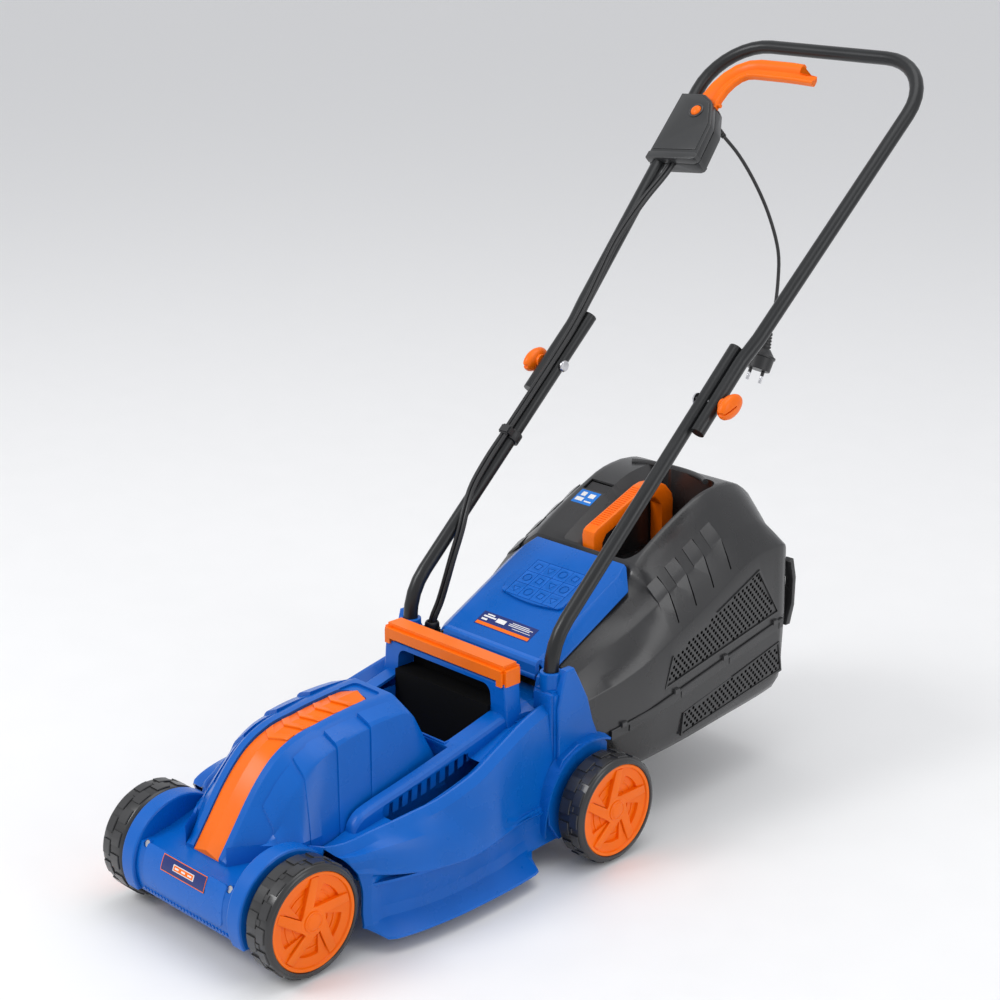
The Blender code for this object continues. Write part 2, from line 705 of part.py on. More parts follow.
def make_stripe():
    stripe = add_object("hood_stripe", stripe_solid(0, 0), ORANGE)
    for y in (0.072, 0.094, 0.116, 0.138, 0.160):
        join(stripe, chevron(y))
    return shade(stripe, 15)


def chevron(y):
    """One raised V-shaped louvre on the band."""
    z = between(HOOD_TOP, y)
    slope = (between(HOOD_TOP, y + 0.015) - z) / 0.015
    rings = []
    for x in (-0.019, 0, 0.019):
        front = y + abs(x) * 0.55
        low = z - 0.0035 - abs(x) * 0.12 + abs(x) * 0.55 * slope
        section = [(0.0, 0.0), (0.0, 0.0058), (0.011, 0.0042 + 0.011 * slope), (0.011, 0.011 * slope)]
        rings.append([(x, front + dy, low + dz) for dy, dz in section])
    return loft_mesh(rings)


# ---------------------------------------------------------------- motor and blade
def make_stator():
    """The motor's wound body, a sleeve on the blade chamber's roof."""
    profile = ((0.027, 0.078), (0.048, 0.078), (0.050, 0.074), (0.050, 0.004), (0.048, 0.0), (0.027, 0.0))
    return turned("motor_stator", profile, COPPER, (0, MOTOR_Y, 0.0928), steps=24, closed=True)


def make_bearing(name, z, radius):
    """An end plate that holds one end of the motor's shaft."""
    profile = ((0.0064, 0.006), (radius, 0.006), (radius, 0.0), (0.0064, 0.0))
    return turned(name, profile, STEEL, (0, MOTOR_Y, z), steps=20, closed=True)


def make_rotor():
    """The shaft and armature that carry the fan above and the blade below."""
    profile = [
        (0, 0.208), (0.006, 0.208), (0.006, 0.168), (0.0262, 0.168), (0.0262, 0.097), (0.006, 0.097),
        (0.006, 0.0465), (0, 0.0465),
    ]
    return turned("motor_rotor", profile, STEEL, (0, MOTOR_Y, 0), steps=20)


def make_fan():
    """The fan on top of the shaft: a disc with upright vanes."""
    fan = add_object("cooling_fan", rod_mesh((0, MOTOR_Y, 0.182), "Z", 0.003, 0.042, 28), DARK, (0, MOTOR_Y, 0.182))
    join(fan, rod_mesh((0, MOTOR_Y, 0.182), "Z", 0.014, 0.010, 20))
    for i in range(8):
        vane = box_mesh((0.008, -0.0008, 0.184), (0.040, 0.0008, 0.196))
        vane.transform(Matrix.Translation((0, MOTOR_Y, 0)) @ Matrix.Rotation(i * pi / 4, 4, "Z"))
        join(fan, vane)
    cut(fan, rod_mesh((0, MOTOR_Y, 0.17), "Z", 0.04, 0.0063, 20))
    return shade(fan)


def make_blade_holder():
    profile = [
        (0, 0.0462), (0.014, 0.0462), (0.016, 0.044), (0.016, 0.036), (0.024, 0.031), (0.024, 0.0276), (0.0043, 0.0276),
        (0.0043, 0.0425), (0, 0.0425),
    ]
    return turned("blade_holder", profile, DARK, (0, MOTOR_Y, 0), steps=20)


def make_blade():
    """The cutting blade: a flat bar with swept ends and raised trailing wings."""
    edge = [(0.030, 0.024), (0.105, 0.019), (0.125, 0.023), (0.154, 0.019), (0.158, -0.006), (0.105, -0.022), (0.030, -0.024)]
    outline = edge + [(-x, -y) for x, y in edge]
    hole = list(arc((0, 0), 0.0045, 0, 330, 11))
    mesh = plate_mesh(outline, "XY", 0.0243, 0.0272, [hole])
    mesh.transform(Matrix.Translation((0, MOTOR_Y, 0)))
    blade = add_object("blade", mesh, STEEL, (0, MOTOR_Y, BLADE_Z))
    for side in (1, -1):
        wing = [(0.108, 0.0265), (0.112, 0.033), (0.150, 0.033), (0.156, 0.0265)]
        mesh = plate_mesh(wing, "XZ", 0.0165, 0.0185)
        if side < 0:
            mesh.transform(Matrix.Rotation(pi, 4, "Z"))
        mesh.transform(Matrix.Translation((0, MOTOR_Y, 0)))
        join(blade, mesh)
    return shade(blade)


def make_blade_bolt():
    bolt = add_object("blade_bolt", rod_mesh((0, MOTOR_Y, 0.0178), "Z", 0.0062, 0.0095, 6), STEEL, (0, MOTOR_Y, 0.024))
    return shade(join(bolt, rod_mesh((0, MOTOR_Y, 0.022), "Z", 0.0195, 0.0040, 14)))


def make_capacitor():
    can = add_object("capacitor", rod_mesh((0, 0.092, 0.0858), "Z", 0.062, 0.0165, 20), GREY, (0, 0.092, 0.0858))
    for x in (-0.006, 0.006):
        join(can, box_mesh((x - 0.003, 0.0916, 0.145), (x + 0.003, 0.0924, 0.156)))
    return shade(can)


# ---------------------------------------------------------------- wheels and axles
def make_wheel(name, y, outer_x, side):
    """One wheel: a tyre on a dished rim, closed by a hub cap."""
    axis = "X" if side > 0 else "-X"
    centre = (side * outer_x, y, AXLE_HEIGHT)
    tyre = [
        (0.0602, -0.001), (0.0635, -0.001), (0.0682, -0.0040), (WHEEL_RADIUS, -0.0075), (WHEEL_RADIUS, -0.0345),
        (0.0682, -0.0380), (0.0635, -0.041), (0.0602, -0.041),
    ]
    turned("tyre_" + name, tyre, RUBBER, centre, axis, 32, closed=True)
    rim = [
        (0.0053, -0.0035), (0.015, -0.0035), (0.017, -0.006), (0.051, -0.006), (0.053, -0.001), (RIM_RADIUS, -0.001),
        (RIM_RADIUS, -0.040), (0.056, -0.040), (0.054, -0.011), (0.018, -0.011), (0.014, -0.0405), (0.0053, -0.0405),
    ]
    turned("rim_" + name, rim, ORANGE, centre, axis, 24, closed=True)
    cap = [(0, 0.0), (0.010, 0.0), (0.0125, -0.0012), (0.0125, -0.0032), (0, -0.0032)]
    turned("hub_cap_" + name, cap, ORANGE, centre, axis, 16)


def make_axle(name, y, outer_x):
    length = 2 * outer_x - 0.0080
    axle = add_object(name, rod_mesh((-length / 2, y, AXLE_HEIGHT), "X", length, AXLE_RADIUS, 16), STEEL, (0, y, AXLE_HEIGHT))
    return shade(axle)


# ---------------------------------------------------------------- handle tubes
def hollow_tube(name, path, lead, pivot):
    """A steel tube along a path, with an open bore."""
    tube = add_object(name, tube_mesh(path, TUBE_RADIUS, 3), PAINT, pivot)
    first = path[0] - (path[1] - path[0]).normalized() * lead
    last = path[-1] + (path[-1] - path[-2]).normalized() * lead
    return cut(tube, tube_mesh([first, *path[1:-1], last], TUBE_RADIUS - 0.0014, 1))


def lower_line(y):
    """Height of the straight upper part of a lower tube."""
    return LOWER_TUBE_TOP[1] + LOWER_SLOPE * (y - LOWER_TUBE_TOP[0])


def make_lower_tube(name, side):
    x = side * LOWER_TUBE_X
    corners = [(x, LOWER_TUBE_Y, LOWER_TUBE_FOOT_Z), (x, LOWER_TUBE_Y, lower_line(LOWER_TUBE_Y)), (x, *LOWER_TUBE_TOP)]
    tube = hollow_tube(name, rounded_path(corners, [0.084]), 0.004, (x, LOWER_TUBE_Y, LOWER_TUBE_FOOT_Z))
    return shade(cut(tube, pivot_bore()), 50)


def pivot_bore():
    return rod_mesh((-0.17, PIVOT_Y, PIVOT_Z), "X", 0.34, 0.0034, 12)


def handle_path():
    half = [
        (UPPER_END_X, 0.6494, lower_line(0.6494)),
        (UPPER_END_X, 0.735, lower_line(0.735)),
        (0.1535, 0.76, 0.7503 + UPPER_SLOPE * (0.76 - 0.9)),
        (CROSSBAR_CORNER_X, CROSSBAR_Y, CROSSBAR_Z),
    ]
    corners = half + [(-x, y, z) for x, y, z in reversed(half)]
    return rounded_path(corners, [0.06, 0.06, CORNER_RADIUS, CORNER_RADIUS, 0.06, 0.06])


def make_upper_handle():
    handle = hollow_tube("upper_handle", handle_path(), 0.004, (0, PIVOT_Y, PIVOT_Z))
    return shade(cut(handle, pivot_bore()), 50)


def make_pivot_bolt(name, side):
    """The bolt that clamps an upper tube to a lower one, its round head on the inner side."""
    centre = (side * 0.1145, PIVOT_Y, PIVOT_Z)
    axis = (side, 0, 0)
    bolt = add_object(name, rod_mesh(centre, axis, 0.0040, 0.0070, 16, 0.0082), STEEL, centre)
    return shade(join(bolt, rod_mesh((side * 0.1160, PIVOT_Y, PIVOT_Z), axis, 0.0545, 0.0030, 12)))


def make_knob(name, side):
    """The wing knob that tightens the fold joint."""
    base = (side * 0.1586, PIVOT_Y, PIVOT_Z)
    knob = add_object(name, rod_mesh(base, (side, 0, 0), 0.0050, 0.0085, 20), ORANGE, (side * 0.1586, PIVOT_Y, PIVOT_Z))
    wing = rod_mesh((0, 0, 0), "X", 0.0150, 0.0155, 24)
    wing.transform(Matrix.Diagonal((1, 1.2, 0.78, 1)))
    tilt = Matrix.Rotation(radians(20), 4, "X")
    wing.transform(Matrix.Translation((side * 0.1625 - (0.0150 if side < 0 else 0), PIVOT_Y, PIVOT_Z)) @ tilt)
    join(knob, wing)
    return shade(cut(knob, rod_mesh((side * 0.150, PIVOT_Y, PIVOT_Z), (side, 0, 0), 0.0215, 0.0034, 12)))


# ---------------------------------------------------------------- switch box, in the handle's own plane
HANDLE_UP = Vector((0, 1, UPPER_SLOPE)).normalized()
HANDLE_OUT = Vector((1, 0, 0)).cross(HANDLE_UP)


def handle_frame():
    """Turns (across, along the legs, out of the handle's plane) into the design frame."""
    turn = Matrix((Vector((1, 0, 0)), HANDLE_UP, HANDLE_OUT)).transposed().to_4x4()
    return Matrix.Translation((0, CROSSBAR_Y, CROSSBAR_Z)) @ turn


HANDLE = handle_frame()


def in_handle(mesh):
    mesh.transform(HANDLE)
    return mesh


def handle_point(x, along, out=0.0):
    return HANDLE @ Vector((x, along, out))


SWITCH_OUTLINE = [
    (-0.1925, -0.104), (-0.153, -0.101), (-0.129, -0.114), (-0.109, -0.152), (-0.1025, -0.203), (-0.106, -0.209),
    (-0.1865, -0.2175),
]
SWITCH_FRONT, SWITCH_BACK, SPLIT = 0.0125, -0.020, 0.0002
BUTTON_X, BUTTON_ALONG, BUTTON_RADIUS = -0.1475, -0.132, 0.0083
LEVER_ALONG = -0.110
LEVER_PIN_RADIUS = 0.0030


def leg_line():
    high = Vector((-CROSSBAR_CORNER_X, CROSSBAR_Y, CROSSBAR_Z))
    low = Vector((-0.1535, 0.76, 0.7503 + UPPER_SLOPE * (0.76 - 0.9)))
    run = (low - high).normalized()
    return [high + run * 0.0775, high + run * 0.245]


def make_switch_half(name, low, high):
    """One half of the switch box, split along the handle's plane."""
    half = add_object(name, in_handle(plate_mesh(SWITCH_OUTLINE, "XY", low, high)), GREY, handle_point(-0.15, -0.16))
    mouth = [(-0.1670, -0.090), (-0.1670, -0.117), (-0.1265, -0.117), (-0.1200, -0.090)]
    room = [(-0.1560, -0.140), (-0.1560, -0.200), (-0.1120, -0.194), (-0.1160, -0.156), (-0.1260, -0.140)]
    cut(half, tube_mesh(leg_line(), TUBE_RADIUS + GAP, 3))
    cut(half, in_handle(plate_mesh(mouth, "XY", -0.0125, 0.0095)))
    cut(half, in_handle(plate_mesh(room, "XY", -0.0165, 0.0090)))
    pin = rod_mesh((-0.1685, LEVER_ALONG, 0), "X", 0.0450, LEVER_PIN_RADIUS + GAP, 12)
    cut(half, in_handle(pin))
    cut(half, in_handle(rod_mesh((BUTTON_X, BUTTON_ALONG, -0.012), "Z", 0.06, BUTTON_RADIUS + 0.0003, 20)))
    for x in (-0.1515, -0.1440):
        cut(half, in_handle(rod_mesh((x, -0.19, 0), "Y", -0.05, CABLE_DIAMETER / 2 + GAP, 10)))
    return shade(half)


def make_switch_box():
    make_switch_half("switch_housing_upper", SPLIT, SWITCH_FRONT)
    make_switch_half("switch_housing_lower", SWITCH_BACK, -SPLIT)
    block = box_mesh((-0.1500, -0.186, -0.0150), (-0.1200, -0.160, 0.0060), bevel=0.0008)
    shade(add_object("switch_block", in_handle(block), DARK, handle_point(-0.135, -0.173)))


def make_button():
    """The domed lock-off button; it is pushed into the box before the lever can be pulled."""
    profile = [(0, 0.0185), (0.0035, 0.0180), (0.0065, 0.0165), (BUTTON_RADIUS, 0.0140), (BUTTON_RADIUS, 0.0030), (0, 0.0030)]
    button = turned("safety_button", profile, ORANGE, (0, 0, 0), steps=20)
    button.matrix_basis = Matrix.Translation(handle_point(BUTTON_X, BUTTON_ALONG)) @ HANDLE.to_3x3().to_4x4()
    return button


def make_bail_lever():
    """The lever along the crossbar that is pulled to keep the motor running."""
    outline = [
        (-0.1655, -0.1155), (-0.1655, -0.098), (-0.162, -0.074), (-0.151, -0.047), (-0.1335, -0.027), (-0.115, -0.0255),
        (-0.026, -0.0255), (-0.023, -0.034), (0.003, -0.040), (0.009, -0.044), (0.009, -0.055), (-0.094, -0.056),
        (-0.107, -0.062), (-0.118, -0.075), (-0.126, -0.090), (-0.1285, -0.1155),
    ]
    lever = add_object("bail_lever", in_handle(plate_mesh(outline, "XY", -0.0052, 0.0058)), ORANGE, handle_point(-0.147, LEVER_ALONG))
    join(lever, in_handle(rod_mesh((-0.1680, LEVER_ALONG, 0), "X", 0.0440, LEVER_PIN_RADIUS, 12)))
    trough = [(-0.128, -0.034), (-0.030, -0.034), (-0.030, -0.048), (-0.110, -0.048)]
    return shade(cut(lever, in_handle(plate_mesh(trough, "XY", -0.010, -0.0025))), 40)


# ---------------------------------------------------------------- motor cables
CABLE_XS = (-0.1515, -0.1440)


def lower_point(x, y, out):
    """A point beside a lower tube: out is the distance from the tube's axis, up and forward."""
    run = Vector((0, 1, LOWER_SLOPE)).normalized()
    normal = Vector((0, -run.z, run.y))
    return Vector((x, y, lower_line(y))) + normal * out


def make_handle_cable(name, offset):
    """The part of a motor cable that rides on the folding handle."""
    route = [
        handle_point(-0.1478 + offset, -0.2040, 0.0),
        handle_point(-0.1478 + offset, -0.2300, 0.0005),
        handle_point(-0.1485 + offset, -0.290, 0.0095),
        handle_point(-0.1480 + offset * 0.9, -0.360, 0.0140),
        handle_point(-0.1400 + offset * 0.9, -0.420, 0.0150),
        lower_point(-0.1330 + offset * 0.9, 0.755, 0.0160),
        lower_point(-0.1290 + offset * 0.9, 0.720, 0.0150),
        lower_point(-0.1285 + offset * 0.9, 0.695, 0.0145),
    ]
    cable = add_object(name, tube_mesh(smooth_path(route, 0.016), CABLE_DIAMETER / 2, 1), RUBBER, route[0])
    return shade(cable, 60)


CLIP_Y = 0.595


def make_deck_cable(name, offset):
    """The part of a motor cable that is held to the lower tube and drops into the gland."""
    route = [
        lower_point(-0.1285 + offset * 0.9, 0.686, 0.0143),
        lower_point(-0.1285 + offset * 0.9, 0.640, 0.0141),
        lower_point(-0.1285 + offset * 0.9, CLIP_Y, 0.0141),
        lower_point(-0.1285 + offset, 0.560, 0.0142),
        lower_point(-0.1240 + offset, 0.527, 0.0140),
        lower_point(-0.1155 + offset, 0.503, 0.0100),
        lower_point(-0.1113 + offset, 0.484, 0.0010),
        Vector((-0.1113 + offset, 0.4680, 0.318)),
        Vector((-0.1150 + offset, 0.4600, 0.288)),
        Vector((-0.1195 + offset, 0.4520, 0.258)),
        Vector((GLAND[0] + offset * 0.96, 0.4415, 0.236)),
        Vector((GLAND[0] + offset * 0.96, 0.4400, 0.2225)),
    ]
    cable = add_object(name, tube_mesh(smooth_path(route, 0.014), CABLE_DIAMETER / 2, 1), RUBBER, route[0])
    return shade(cable, 60)


def make_clip():
    """The clip that holds both cables on the left lower tube."""
    run = Vector((0, 1, LOWER_SLOPE)).normalized()
    centre = lower_point(-LOWER_TUBE_X, CLIP_Y, 0)
    start = centre - run * 0.007
    clip = add_object("cable_clip", rod_mesh(start, run, 0.014, 0.0130, 20), DARK, centre)
    lobe = box_mesh((-0.0095, -0.007, 0.004), (0.0095, 0.007, 0.0200), bevel=0.0015)
    turn = Matrix((Vector((1, 0, 0)), run, Vector((1, 0, 0)).cross(run))).transposed().to_4x4()
    lobe.transform(Matrix.Translation(centre) @ turn)
    join(clip, lobe)
    cut(clip, rod_mesh(centre - run * 0.02, run, 0.04, TUBE_RADIUS + GAP, 20))
    room = box_mesh((-0.0073, -0.02, 0.0080), (0.0073, 0.02, 0.0177))
    room.transform(Matrix.Translation(centre) @ turn)
    return shade(cut(clip, room))


def make_gland():
    """The gland through which both cables enter the deck."""
    profile = [
        (0.0069, 0.0285), (0.0085, 0.0285), (0.0098, 0.0255), (0.0098, 0.0040), (0.0118, 0.0030), (0.0118, 0.0),
        (0.0078, 0.0), (0.0078, -0.0120), (0.0069, -0.0120),
    ]
    return turned("cable_gland", profile, DARK, (GLAND[0], GLAND[1], GLAND[2]), steps=16, closed=True)


# ---------------------------------------------------------------- rear flap
def flap_z(y):
    return FLAP_Z + FLAP_SLOPE * (y - FLAP_Y)


def flap_half(y, width, drop_width, drop):
    top = flap_z(y)
    return [
        (0, top), (width, top), (width + drop_width, top - drop), (width + drop_width, top - drop - 0.003),
        (width - 0.0005, top - 0.003), (0, top - 0.003),
    ]


def make_flap():
    """The guard flap over the grass chute; it rests on the grass box and turns on a rod."""
    sections = (
        (0.4300, 0.0820, 0.012, 0.009),
        (0.4447, 0.0840, 0.0190, 0.015),
        (0.5760, 0.0850, 0.0180, 0.015),
        (0.5950, 0.0780, 0.004, 0.003),
    )
    plate = loft_mesh([mirrored_ring(y, flap_half(y, *shape)) for y, *shape in sections])
    flap = add_object("rear_flap", plate, BLUE, (0, *FLAP_ROD))
    y, z = FLAP_ROD
    lip = [(0.4215, 0.2215), (0.4215, 0.2365), (0.4250, 0.2405), (0.4320, 0.2425), (0.4340, 0.2400), (0.4285, 0.2360), (0.4285, 0.2215)]
    join(flap, plate_mesh(lip, "YZ", -0.080, 0.088), rod_mesh((-0.080, y, z), "X", 0.168, 0.0050, 16))
    return shade(cut(flap, rod_mesh((-0.10, y, z), "X", 0.20, FLAP_ROD_RADIUS + GAP, 12)), 25)


def make_flap_rod():
    rod = add_object("flap_rod", rod_mesh((-0.1025, *FLAP_ROD), "X", 0.205, FLAP_ROD_RADIUS, 12), STEEL, (0, *FLAP_ROD))
    return shade(rod)


def make_flap_spring():
    """The coil that turns the flap shut."""
    points = []
    for i in range(45):
        a = 2 * pi * i / 10
        points.append((-0.0902 + 0.0020 * i / 10, FLAP_ROD[0] + 0.0041 * cos(a), FLAP_ROD[1] + 0.0041 * sin(a)))
    return shade(add_object("flap_spring", tube_mesh(points, 0.0006, 0), STEEL, (0, *FLAP_ROD)), 60)


# ---------------------------------------------------------------- grass box
BOX_WIDTH = ((0.436, 0.138), (0.47, 0.146), (0.52, 0.155), (0.566, 0.160), (0.82, 0.160), (0.846, 0.150))
PLATEAU_Z = (
    (0.436, 0.2270), (0.50, 0.2630), (0.598, 0.3150), (0.601, 0.3260), (0.62, 0.3388), (0.70, 0.3796), (0.735, 0.3925),
    (0.77, 0.3965), (0.80, 0.3930), (0.83, 0.3740), (0.846, 0.3450),
)
CREST_X = ((0.436, 0.112), (0.50, 0.120), (0.566, 0.132), (0.606, 0.137), (0.79, 0.137), (0.846, 0.118))
CREST_Z = (
    (0.436, 0.205), (0.50, 0.236), (0.566, 0.268), (0.606, 0.291), (0.66, 0.317), (0.715, 0.342), (0.745, 0.350),
    (0.79, 0.352), (0.82, 0.342), (0.846, 0.318),
)
EAVE_Z = (
    (0.436, 0.188), (0.50, 0.206), (0.566, 0.229), (0.652, 0.265), (0.789, 0.318), (0.82, 0.318), (0.846, 0.300),
)
FLOOR_Z = (
    (0.436, 0.128), (0.468, 0.118), (0.50, 0.098), (0.545, 0.074), (0.60, 0.076), (0.72, 0.087), (0.82, 0.099),
    (0.846, 0.112),
)
BOX_STATIONS = (0.4560, 0.475, 0.50, 0.545, 0.566, 0.598, 0.601, 0.66, 0.70, 0.735, 0.77, 0.80, 0.82, 0.846)
BOX_WALL = 0.003


def seam_z(y):
    return 0.1665 + 0.204 * (y - 0.587)


def box_upper_half(y, inset):
    seam = seam_z(y) - 0.01 if inset else seam_z(y) + GAP
    width = between(BOX_WIDTH, y)
    return [
        (0, between(PLATEAU_Z, y) - inset),
        (0.088 - inset * 0.5, between(PLATEAU_Z, y) - inset),
        (between(CREST_X, y) - inset, between(CREST_Z, y) - inset * 0.8),
        (width - inset, between(EAVE_Z, y) - inset * 0.4),
        (width + 0.002 - inset, seam),
        (0, seam),
    ]


def box_lower_half(y, inset):
    seam = seam_z(y) + 0.01 if inset else seam_z(y)
    width, floor = between(BOX_WIDTH, y), between(FLOOR_Z, y) + inset
    return [
        (0, seam),
        (width + 0.002 - inset, seam),
        (width - 0.001 - inset, min(floor + 0.034, seam_z(y) - 0.008)),
        (width - 0.016 - inset, floor + 0.006),
        (width - 0.030 - inset, floor),
        (0, floor),
    ]


def box_solid(half, inset):
    stations = list(BOX_STATIONS)
    if inset:
        stations[0] += inset
        stations[-1] -= inset
    return loft_mesh([mirrored_ring(y, half(y, inset)) for y in stations])


POCKET_LOW, POCKET_HIGH = (-0.034, 0.604, 0.292), (0.084, 0.782, 0.46)


def seam_flange():
    """The rim around the lower shell's edge that the upper shell snaps onto."""
    rings = []
    for y in (0.50, 0.566, 0.82):
        width = between(BOX_WIDTH, y)
        z = seam_z(y)
        rings.append(mirrored_ring(y, [(0, z), (width + 0.005, z), (width + 0.005, z - 0.013), (0, z - 0.016)]))
    return loft_mesh(rings)


def window(side, corners):
    """A ventilated side panel, sunk a little into the wall."""
    low, high = sorted((side * 0.1588, side * 0.175))
    return plate_mesh(corners, "YZ", low, high)


UPPER_WINDOW = [(0.586, 0.180), (0.600, 0.221), (0.770, 0.294), (0.814, 0.224)]
LOWER_WINDOW = [(0.620, 0.104), (0.624, 0.134), (0.819, 0.178), (0.826, 0.136)]


def make_box_upper():
    shell = add_object("box_upper_shell", box_solid(box_upper_half, 0), GREY, (0, BOX_REAR_Y, 0.20))
    cut(shell, box_solid(box_upper_half, BOX_WALL))
    room = box_mesh([v - BOX_WALL for v in POCKET_LOW], [v + BOX_WALL for v in POCKET_HIGH[:2]] + [0.341])
    join(shell, room)
    cut(shell, box_mesh(POCKET_LOW, POCKET_HIGH))
    for side in (-1, 1):
        cut(shell, window(side, UPPER_WINDOW))
        for y in (0.600, 0.634, 0.668, 0.702):
            join(shell, box_rib(side, y))
    for y in (0.6205, 0.757):
        cut(shell, rod_mesh((0, y, 0.25), "Z", 0.06, 0.0021, 10))
    cut(shell, box_mesh((-0.106, 0.440, 0.100), (0.106, 0.4640, 0.1980)))
    cut(shell, indicator_window(0.0006, 0.03))
    return shade(shell, 25)


def box_rib(side, y):
    """One raised rib that runs over the box's crest."""
    rings = []
    for x, table in ((0.120, 0.42), (0.137, 0.0), (0.157, -1.0)):
        if table > 0:
            z = between(CREST_Z, y) + (between(PLATEAU_Z, y) - between(CREST_Z, y)) * (0.137 - x) / 0.049
        elif table < 0:
            z = between(EAVE_Z, y) + 0.004
        else:
            z = between(CREST_Z, y)
        rise = 0.0022
        section = [(-0.008, -0.005), (-0.008, rise - 0.004), (0.009, rise + 0.0035), (0.009, -0.002)]
        rings.append([(side * x, y + dy, z + dz) for dy, dz in section])
    return loft_mesh(rings)


def make_box_lower():
    shell = add_object("box_lower_shell", box_solid(box_lower_half, 0), GREY, (0, BOX_REAR_Y, 0.16))
    join(shell, seam_flange())
    cut(shell, box_solid(box_lower_half, BOX_WALL))
    for side in (-1, 1):
        cut(shell, window(side, LOWER_WINDOW))
    cut(shell, box_mesh((-0.106, 0.440, 0.1265), (0.106, 0.4640, 0.20)))
    return shade(shell, 25)


def make_box_handle():
    """The orange carrying loop on top of the box, with feet in the pocket's floor."""
    outline = [
        (0.6135, 0.2926), (0.6085, 0.344), (0.6155, 0.352), (0.7110, 0.3895), (0.7450, 0.3880), (0.7665, 0.366), (0.7680, 0.2926),
        (0.7460, 0.2926), (0.7440, 0.357), (0.7300, 0.3700), (0.7130, 0.3705), (0.6345, 0.3405), (0.6275, 0.330), (0.6275, 0.2926),
    ]
    handle = add_object("box_handle", plate_mesh(outline, "YZ", -0.0110, 0.0110), ORANGE, (0, 0.69, 0.36))
    for y in (0.6205, 0.757):
        join(handle, rod_mesh((0, y, 0.282), "Z", 0.014, 0.0018, 10))
    return shade(handle, 25)


INDICATOR_Y, INDICATOR_X = 0.701, -0.062


def indicator_window(margin, rise):
    """The space of the fill indicator in the box's top."""
    y, x = INDICATOR_Y, INDICATOR_X
    points = []
    for dy, dz in ((-0.014 - margin, -0.03), (-0.014 - margin, rise), (0.004 + margin, rise), (0.004 + margin, -0.03)):
        points.append((y + dy, between(PLATEAU_Z, y) + dz))
    return plate_mesh(points, "YZ", x - 0.020 - margin, x + 0.020 + margin)


def make_indicator():
    """The small flap that rises while air flows through the box and drops when it is full."""
    y, x = INDICATOR_Y, INDICATOR_X
    z = between(PLATEAU_Z, y)
    slope = (between(PLATEAU_Z, y - 0.012) - z) / -0.012
    outline = [(y + 0.0025, z - 0.0040), (y + 0.0025, z - 0.0015), (y - 0.0112, z - 0.0015 - 0.0137 * slope), (y - 0.0112, z - 0.0040 - 0.0137 * slope)]
    flap = add_object("fill_indicator", plate_mesh(outline, "YZ", x - 0.0192, x + 0.0192), DARK, (x, y + 0.001, z - 0.0027))
    return shade(flap)


# ---------------------------------------------------------------- pigtail cord and plug
def make_cord():
    route = [
        (-0.1365, 1.0320, 0.8080), (-0.1300, 1.0560, 0.7820), (-0.1200, 1.0830, 0.7400), (-0.1100, 1.1075, 0.6880),
        (-0.1000, 1.1190, 0.6350), (-0.0945, 1.1140, 0.5950), (-0.0890, 1.1020, 0.5560), (-0.0848, 1.0870, 0.5240),
    ]
    cord = add_object("supply_cord", tube_mesh(smooth_path(route, 0.0125), CORD_DIAMETER / 2, 2), RUBBER, route[0])
    return shade(cord, 60)


def make_cord_sleeve():
    """The tapered boot where the cord leaves the switch box."""
    start = Vector((-0.1425, 1.0110, 0.8305))
    run = (Vector((-0.1365, 1.0320, 0.8080)) - start).normalized()
    sleeve = add_object("cord_sleeve", rod_mesh(start, run, 0.0300, 0.0052, 14, 0.0040), RUBBER, start)
    return shade(cut(sleeve, rod_mesh(start + run * 0.004, run, 0.04, 0.0030, 12)))


PLUG_TOP = Vector((-0.0845, 1.0862, 0.5230))
PLUG_RUN = Vector((0.0, -0.45, -0.893)).normalized()
PLUG_ACROSS = Vector((0.75, 0.59, -0.2973)).normalized()


def make_plug():
    """A round moulded plug with a collar at its face."""
    plug = add_object("plug_body", rod_mesh(PLUG_TOP, PLUG_RUN, 0.026, 0.0052, 16, 0.0100), DARK, PLUG_TOP)
    join(plug, rod_mesh(PLUG_TOP + PLUG_RUN * 0.024, PLUG_RUN, 0.012, 0.0100, 18, 0.0200))
    join(plug, rod_mesh(PLUG_TOP + PLUG_RUN * 0.035, PLUG_RUN, 0.004, 0.0212, 20))
    join(plug, rod_mesh(PLUG_TOP + PLUG_RUN * 0.038, PLUG_RUN, 0.020, 0.0196, 20, 0.0190))
    cut(plug, rod_mesh(PLUG_TOP - PLUG_RUN * 0.01, PLUG_RUN, 0.018, 0.0031, 12))
    for side in (-1, 1):
        cut(plug, rod_mesh(PLUG_TOP + PLUG_RUN * 0.050 + pin_offset(side), PLUG_RUN, 0.02, 0.0027, 12))
    return shade(plug)


def pin_offset(side):
    return PLUG_ACROSS * side * 0.0095


def make_pin(name, side):
    start = PLUG_TOP + PLUG_RUN * 0.0505 + pin_offset(side)
    return shade(add_object(name, rod_mesh(start, PLUG_RUN, 0.0265, 0.0024, 12), STEEL, start))


